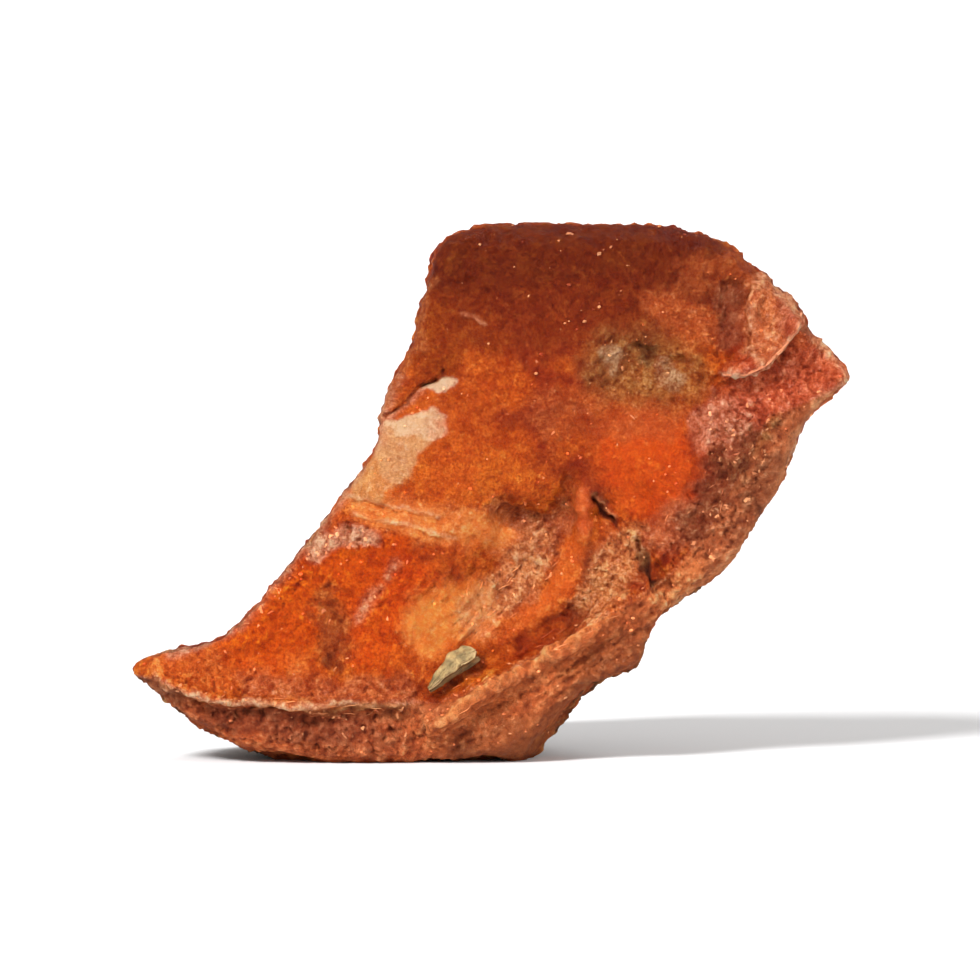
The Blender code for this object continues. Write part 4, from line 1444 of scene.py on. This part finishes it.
def flake_shape(name, skin, flat, chip):
    """The flat grid laid along the flake's line, off the skin and curled at its edges."""
    line, half_width, start_width, offsets, crumpled, *_ = FLAKES[name]
    left, middle, right, far = offsets
    places = np.empty_like(flat)
    for index, (a, b, _) in enumerate(flat):
        share = (a + 1) / 2
        here = min(share, 0.98)
        way = unit(along(line, here + 0.02) - along(line, here))
        blunt = max(0.0, 1 - abs(a) ** 2.6) ** 0.55
        wide = half_width * blunt * (1 + 0.45 * chip[index]) + 0.005
        wide *= start_width + (1 - start_width) * share
        x, z = along(line, share) + np.array((-way[1], way[0])) * b * wide
        hit, _ = skin.front(x, z)
        if hit is None:
            hit, _ = skin.nearest(Vector((x * MM, FACE_Y * MM, (z - DROP) * MM)))
        off = middle + (left - middle) * max(0, b) ** 2 + (right - middle) * max(0, -b) ** 2
        off += far * max(0, a) ** 4 + crumpled * (chip[index] + 0.5 * math.sin(9 * b + 3 * chip[index]))
        places[index] = hit + Vector((0, -1, 0)) * off * MM
    return places


def build_flake(name, skin, material):
    """A thin curled flake that follows the skin under it."""
    line, half_width, _, (left, middle, *_), _, colour, edge_colour = FLAKES[name]
    bpy.ops.object.select_all(action="DESELECT")
    bpy.ops.mesh.primitive_grid_add(x_subdivisions=30, y_subdivisions=14, size=2.0)
    piece = small_piece(name, material)
    mesh = piece.data
    flat = read(mesh)
    seed = 3.1 * half_width + line[0][0]
    chip = np.array([noise.fractal(Vector((3.0 * a, 1.2 * b, seed)), 0.8, 2.0, 4) for a, b, _ in flat])
    places = relaxed(flake_shape(name, skin, flat, chip), edge_ends(mesh), 1)
    places[:, 1] = np.maximum(places[:, 1], cad_box[0][1] + 0.05 * MM)
    move(mesh, places)
    shell = piece.modifiers.new("thickness", "SOLIDIFY")
    shell.thickness = FLAKE_THICKNESS * MM
    shell.offset = -1.0
    apply(piece)
    turn_faces_out()
    bpy.ops.object.shade_smooth()

    free = np.maximum(flat[:, 1] * np.sign(left - middle), flat[:, 0])
    edge = smoothstep(0.8, 1.0, np.tile(free + 0.15 * chip, 2))[:, None]
    tone = 1 + 0.7 * rough(read(mesh) / MM, 0.5, 4, 3.0)[:, None]
    keep(mesh, "paint", toward(np.array(srgb(*colour)) * tone, srgb(*edge_colour), edge))
    return piece


def placed_copy(model, places, colour):
    """A copy of the model with a mesh of its own, moved to its places and painted."""
    piece = model.copy()
    piece.data = model.data.copy()
    bpy.context.scene.collection.objects.link(piece)
    move(piece.data, in_box(np.array(places)))
    keep(piece.data, "paint", np.array([colour] * len(places)))
    return piece


def join_copies(model, copies, name, material):
    """Joins the copies in one piece, which rides with the body, and removes their model."""
    bpy.data.objects.remove(model)
    bpy.ops.object.select_all(action="DESELECT")
    for piece in copies:
        piece.select_set(True)
    bpy.context.view_layer.objects.active = copies[0]
    bpy.ops.object.join()
    return small_piece(name, material)


def model_strand():
    """A slim rod along z from 0 to 1, in rings, drawn to a point at both ends."""
    bpy.ops.object.select_all(action="DESELECT")
    bpy.ops.mesh.primitive_cylinder_add(vertices=5, radius=1.0, depth=1.0, end_fill_type="TRIFAN")
    rod = bpy.context.object
    bpy.ops.object.mode_set(mode="EDIT")
    for height in np.linspace(-0.5, 0.5, STRAND_RINGS)[1:-1]:
        bpy.ops.mesh.select_all(action="SELECT")
        bpy.ops.mesh.bisect(plane_co=(0, 0, height), plane_no=(0, 0, 1))
    bpy.ops.mesh.select_all(action="SELECT")
    bpy.ops.transform.translate(value=(0, 0, 0.5))
    bpy.ops.object.mode_set(mode="OBJECT")
    bpy.ops.object.transform_apply()
    for vertex in rod.data.vertices:
        slim = 0.15 + 0.85 * math.sin(math.pi * vertex.co.z) ** 0.6
        vertex.co.x *= slim
        vertex.co.y *= slim
    rod.data.shade_smooth()
    return rod


def path_on(skin, start, way, length, draw):
    """Points along the skin from a start, touching it and rising by turns."""
    place, points = start, []
    rise = draw.uniform(0.0, 0.05)
    bend = Vector([draw.uniform(-1, 1) for _ in range(3)]) * 0.5
    for ring in range(STRAND_RINGS):
        hit, normal = skin.nearest(place)
        share = ring / (STRAND_RINGS - 1)
        points.append(hit + normal * (0.3 * STRAND_RADIUS + rise * math.sin(math.pi * share)) * MM)
        way = (way + bend / STRAND_RINGS - normal * way.dot(normal)).normalized()
        place = hit + way * length * MM / STRAND_RINGS
    return points


def strand_on(model, points, thick, colour):
    """The model laid along the points."""
    places = []
    for vertex in model.data.vertices:
        at = vertex.co.z * (len(points) - 1)
        index = min(int(at), len(points) - 2)
        run = points[index + 1] - points[index]
        across = run.orthogonal().normalized()
        other = run.normalized().cross(across)
        middle = points[index] + run * (at - index)
        places.append(middle + (across * vertex.co.x + other * vertex.co.y) * thick * MM)
    return placed_copy(model, places, colour)


def build_strands(skin, material):
    """Woody fibres torn loose along the rim, the slab and the bank, and round the seeds."""
    draw = random.Random(STRAND_DRAWS)
    model = model_strand()
    copies = []

    def add(hit, way, length, pale):
        points = path_on(skin, hit, way, length * draw.uniform(0.6, 1.3), draw)
        colour = skin.colour_at(hit)
        colour = toward(colour, PALE_CHIP, pale)
        copies.append(strand_on(model, points, STRAND_RADIUS * draw.uniform(0.7, 1.2), colour))

    for line, half_width, count, turn, length in STRANDS.values():
        for _ in range(count):
            off = np.array((draw.uniform(-1, 1), draw.uniform(-1, 1)))
            x, z = along(line, draw.random()) + half_width * off
            hit, _ = skin.front(x, z)
            if hit is None:
                continue
            angle = math.radians(turn + draw.gauss(0, 14))
            way = Vector((math.cos(angle), 0, math.sin(angle)))
            add(hit, way, length, draw.uniform(0.1, 0.4))
    for start, end in SEEDS:
        for _ in range(SEED_FIBRES):
            out = unit(np.array((draw.gauss(0, 1), draw.gauss(0, 1))))
            x, z = along((start, end), draw.random()) + out * draw.uniform(1.1, 2.1)
            hit, _ = skin.behind(x, z)
            if hit is not None:
                turn = math.atan2(end[1] - start[1], end[0] - start[0]) + draw.gauss(0, 0.5)
                way = Vector((math.cos(turn), 0, math.sin(turn)))
                add(hit, way, SEED_FIBRE_LENGTH, draw.uniform(0.3, 0.8))
    return join_copies(model, copies, "woody_strands", material)


def model_chip():
    """A small thin scale, its rim drawn down a little."""
    bpy.ops.object.select_all(action="DESELECT")
    bpy.ops.mesh.primitive_circle_add(vertices=7, radius=1.0, fill_type="TRIFAN")
    chip = bpy.context.object
    bpy.ops.object.mode_set(mode="EDIT")
    bpy.ops.mesh.select_all(action="SELECT")
    bpy.ops.mesh.extrude_region_move(TRANSFORM_OT_translate={"value": (0, 0, 0.16)})
    bpy.ops.object.mode_set(mode="OBJECT")
    turn_faces_out()
    for vertex in chip.data.vertices:
        if vertex.co.z > 0.1:
            vertex.co.x *= 0.8
            vertex.co.y *= 0.8
    return chip


def chip_on(model, hit, normal, size, draw, colour):
    """The model, given a broken outline and laid on the skin with one side lifted a little."""
    across = normal.orthogonal().normalized()
    angle = draw.uniform(0, 2 * math.pi)
    along_chip = across * math.cos(angle) + normal.cross(across) * math.sin(angle)
    side = normal.cross(along_chip)
    stretch, tilt, seed = draw.uniform(0.3, 0.8), draw.uniform(-0.16, 0.16), draw.uniform(0, 99)
    places = []
    for vertex in model.data.vertices:
        x, y, z = vertex.co
        ragged = 1 + 1.3 * noise.noise(Vector((1.6 * x, 1.6 * y, seed)))
        up = z - 0.1 + tilt * x - 0.22 * (x * x + y * y) + 0.3 * noise.noise(Vector((x, y, seed + 5)))
        off = along_chip * x * ragged + side * y * stretch * ragged + normal * up
        places.append(hit + off * size * MM)
    return placed_copy(model, places, colour)


def build_chips(skin, material):
    """Broken scales of skin and gum, thickest along the edges and on the bank."""
    draw = random.Random(CHIP_DRAWS)
    model = model_chip()
    copies = []

    def add(hit, normal, size):
        colour = skin.colour_at(hit) * draw.uniform(0.6, 1.05)
        pale = draw.uniform(0.1, 0.6)
        colour = toward(colour, PALE_CHIP, pale)
        copies.append(chip_on(model, hit, normal, size * draw.uniform(0.3, 0.95), draw, colour))

    for line, half_width, count, size in CHIPS.values():
        for _ in range(count):
            off = np.array((draw.gauss(0, 0.5), draw.gauss(0, 0.5)))
            x, z = along(line, draw.random()) + half_width * off
            hit, normal = skin.front(x, z)
            if hit is not None and normal.y < -0.6:
                add(hit, normal, size)
    wanted = len(copies) + CHIPS_ELSEWHERE
    while len(copies) < wanted:
        index = draw.randrange(len(skin.places))
        if skin.places[index][2] > 0.4 * MM:
            add(Vector(skin.places[index]), Vector(skin.normals[index]), 0.22)
    return join_copies(model, copies, "skin_chips", material)


def model_crumb():
    """A small many-sided grain."""
    bpy.ops.object.select_all(action="DESELECT")
    bpy.ops.mesh.primitive_ico_sphere_add(subdivisions=1, radius=1.0)
    grain = bpy.context.object
    bpy.ops.object.mode_set(mode="EDIT")
    bpy.ops.mesh.select_all(action="SELECT")
    bpy.ops.transform.resize(value=(1.2, 0.9, 0.75))
    bpy.ops.object.mode_set(mode="OBJECT")
    return grain


def build_crumbs(skin, material):
    """Small broken crystals of dried gum, half sunk in the skin."""
    draw = random.Random(CRUMB_DRAWS)
    model = model_crumb()
    low, high = CRUMB_SIZES
    copies = []
    while len(copies) < CRUMBS:
        index = draw.randrange(len(skin.places))
        place = skin.places[index] / MM
        if noise.noise(Vector(place) / 1.6) < draw.uniform(-0.1, 0.5) or place[2] < 0.4:
            continue
        size = low + (high - low) * draw.random() ** 3
        centre = Vector(skin.places[index]) - Vector(skin.normals[index]) * 0.2 * size * MM
        turned = Vector([draw.uniform(-1, 1) for _ in range(3)]).to_track_quat("Z", "Y")
        corners = [vertex.co * draw.uniform(0.75, 1.2) for vertex in model.data.vertices]
        places = [centre + turned @ corner * size * MM for corner in corners]
        colour = skin.paint[index] * draw.uniform(0.8, 1.3)
        colour = toward(colour, PALE_CHIP, 0.6 * draw.random() ** 2)
        copies.append(placed_copy(model, places, colour))
    return join_copies(model, copies, "gum_crumbs", material)


def relaxed_line(points, rounds):
    for _ in range(rounds):
        points[1:-1] = 0.5 * points[1:-1] + 0.25 * (points[:-2] + points[2:])
    return points


def seed_spine(line, skin):
    """A seed's middle line along its socket, nearly straight, and which way is out of the skin."""
    hits = [skin.behind(*along(line, share)) for share in np.linspace(0, 1, 9)]
    spine = relaxed_line(np.array([place for place, _ in hits]), 12)
    middle = spine.mean(axis=0)
    way = unit(spine[-1] - spine[0])
    straight = middle + ((spine - middle) @ way)[:, None] * way
    spine = straight + SEED_BEND * (spine - straight)
    reach = unit(spine[-1] - spine[0]) * SEED_LONGER * MM
    spine = np.concatenate([[spine[0] - reach], spine, [spine[-1] + reach]])
    return spine, Vector(np.mean([normal for _, normal in hits], axis=0)).normalized()


def seed_shape(ball, spine, out):
    """The ball's points drawn out along the spine: flat, oblong and blunt at both ends."""
    way = Vector(spine[-1] - spine[0]).normalized()
    side = way.cross(out).normalized()
    up = side.cross(way).normalized()
    places = np.empty_like(ball)
    for index, (a, b, c) in enumerate(ball):
        round_share = math.sqrt(max(1e-6, 1 - a * a))
        blunt = (max(0.0, 1 - abs(a) ** SEED_BLUNT)) ** (1 / SEED_BLUNT) / round_share
        middle = Vector(along(spine, 0.5 + 0.5 * a))
        wide = SEED_HALF_WIDTH * b * blunt * (1 - SEED_TAPER * a)
        thick = SEED_HALF_THICKNESS * c * blunt
        places[index] = middle + (side * wide + up * thick) * MM
    return places


def seed_paint(ball, bumps):
    """Tan, browner at the ends and darkest down the sides."""
    colour = np.array(SEED_TAN) * (1 + 0.6 * bumps[:, None])
    ends = smoothstep(0.4, 0.9, np.abs(ball[:, 0]) + 0.6 * bumps)
    colour = toward(colour, SEED_END, ends[:, None])
    sides = np.hypot(ball[:, 1], np.minimum(ball[:, 2], 0))
    sides = smoothstep(0.5, 0.95, sides + 0.4 * bumps)
    return toward(colour, SEED_SIDE, 0.9 * sides[:, None])


def build_seed(number, skin, material):
    """One flat oblong seed lying in its socket on the hidden cut."""
    bpy.ops.object.select_all(action="DESELECT")
    bpy.ops.mesh.primitive_uv_sphere_add(segments=56, ring_count=40, radius=1.0)
    piece = small_piece(f"seed_{number + 1}", material)
    mesh = piece.data
    ball = read(mesh)[:, [2, 0, 1]]
    places = seed_shape(ball, *seed_spine(SEEDS[number], skin))
    bumps = 0.6 * rough(places / MM, 1.0, 4, 2.0 + number)
    bumps += 0.6 * rough(ball * (1.4, 4.0, 4.0), 1.0, 4, 12.0 + number)
    outwards = ball / np.linalg.norm(ball, axis=1)[:, None]
    places += outwards * (0.14 * bumps * MM)[:, None]
    move(mesh, in_box(places))
    turn_faces_out()
    bpy.ops.object.shade_smooth()
    keep(mesh, "paint", seed_paint(ball, bumps))
    return piece


def shred_material():
    """Dry shreds and crumbs: the colour they are painted, with fine flecks."""
    nodes = Nodes("dried_bael_shreds")
    colour, noises = nodes.layered(nodes.attribute("paint").outputs["Color"], SHRED_LAYERS)
    fine = noises["fine"]
    nodes.put(nodes.shader.inputs["Base Color"], colour)
    nodes.put(nodes.shader.inputs["Roughness"], nodes.spread(fine, 0.35, 0.65, 0.7, 0.4))
    nodes.put(nodes.shader.inputs["Specular IOR Level"], 0.3)
    nodes.put(nodes.shader.inputs["Normal"], nodes.bump(fine, 0.05))
    return nodes.material


def seed_material():
    """Seed coat: tan, faintly ribbed and woolly, with brown stains."""
    nodes = Nodes("dried_bael_seed")
    paint = nodes.attribute("paint").outputs["Color"]
    wool = nodes.noise((0.9, 0.25, 0.1), detail=5.0, turn=40, roughness=0.7, warp=0.5)
    stain = nodes.noise((1.4, 1.4, 1.4), detail=5.0, roughness=0.65)
    colour = nodes.mix(nodes.spread(stain, 0.46, 0.58, 0.0, 0.9), paint, SEED_STAIN)
    colour = nodes.mix(nodes.spread(wool, 0.52, 0.62, 0.0, 0.6), colour, SEED_WOOL)
    colour = nodes.mix(nodes.spread(wool, 0.47, 0.36, 0.0, 0.8), colour, SEED_FURROW)
    nodes.put(nodes.shader.inputs["Base Color"], colour)
    nodes.put(nodes.shader.inputs["Roughness"], nodes.spread(stain, 0.4, 0.65, 0.7, 0.42))
    nodes.glow_under(0.15, (1.0, 0.5, 0.2), 0.5)
    nodes.put(nodes.shader.inputs["Normal"], nodes.bump(wool, 0.12))
    return nodes.material


def build_small_pieces(body):
    """The seeds, flakes, strands, chips and crumbs on the body."""
    skin = Skin(body)
    shreds = shred_material()
    seeds = seed_material()
    for number in range(len(SEEDS)):
        build_seed(number, skin, seeds)
    for name in FLAKES:
        build_flake(name, skin, shreds)
    build_strands(skin, shreds)
    build_chips(skin, shreds)
    build_crumbs(skin, shreds)


def plain_material(name, colour, roughness):
    material = bpy.data.materials.new(name)
    material.use_nodes = True
    shader = material.node_tree.nodes["Principled BSDF"]
    shader.inputs["Base Color"].default_value = (*colour, 1.0)
    shader.inputs["Roughness"].default_value = roughness
    return material


def build_floor():
    bpy.ops.object.select_all(action="DESELECT")
    bpy.ops.mesh.primitive_plane_add(size=8.0, location=(0, 0, -0.02 * MM))
    floor = bpy.context.object
    floor.name = "studio_floor"
    floor.data.materials.append(plain_material("pale_floor", (0.8, 0.8, 0.81), 0.7))


def soft_light(name, turn, rise, strength, spread):
    """A soft distant light, turned round the piece from the front and raised, in degrees."""
    a, e = math.radians(turn), math.radians(rise)
    source = Vector((math.sin(a) * math.cos(e), -math.cos(a) * math.cos(e), math.sin(e)))
    lamp = bpy.data.lights.new(name, "SUN")
    lamp.angle = math.radians(spread)
    lamp.energy = strength
    light = bpy.data.objects.new(name, lamp)
    light.location = source
    light.rotation_euler = (-source).to_track_quat("-Z", "Y").to_euler()
    bpy.context.scene.collection.objects.link(light)


def build_studio():
    """Soft light from the upper left, a weaker fill, and pale surroundings."""
    soft_light("key", -34, 40, 4.7, 14)
    soft_light("fill", 52, 22, 1.5, 40)
    soft_light("back", 160, 50, 0.7, 30)
    world = bpy.data.worlds.new("pale_studio")
    world.use_nodes = True
    world.node_tree.nodes["Background"].inputs["Color"].default_value = (1.0, 0.98, 0.95, 1.0)
    world.node_tree.nodes["Background"].inputs["Strength"].default_value = 0.45
    bpy.context.scene.world = world
    bpy.context.scene.view_settings.view_transform = "Standard"


# The camera looks along +Y, a little down, as at the piece in the photograph.
CAMERA_RISE = 4.5
CAMERA_FAR = 0.9
VIEW_WIDTH = 54.0
VIEW_CENTRE = (0.0, 0.0, 14.4)


def build_camera():
    e = math.radians(CAMERA_RISE)
    back = Vector((0, -math.cos(e), math.sin(e)))
    camera = bpy.data.objects.new("camera", bpy.data.cameras.new("camera"))
    camera.location = Vector(VIEW_CENTRE) * MM + back * CAMERA_FAR
    camera.rotation_euler = (-back).to_track_quat("-Z", "Y").to_euler()
    camera.data.lens = camera.data.sensor_width * CAMERA_FAR / (VIEW_WIDTH * MM)
    camera.data.clip_start = 0.01
    bpy.context.scene.collection.objects.link(camera)
    bpy.context.scene.camera = camera


noise.seed_set(NOISE_SEED)
build_camera()
build_studio()
build_floor()
build_small_pieces(build_body())
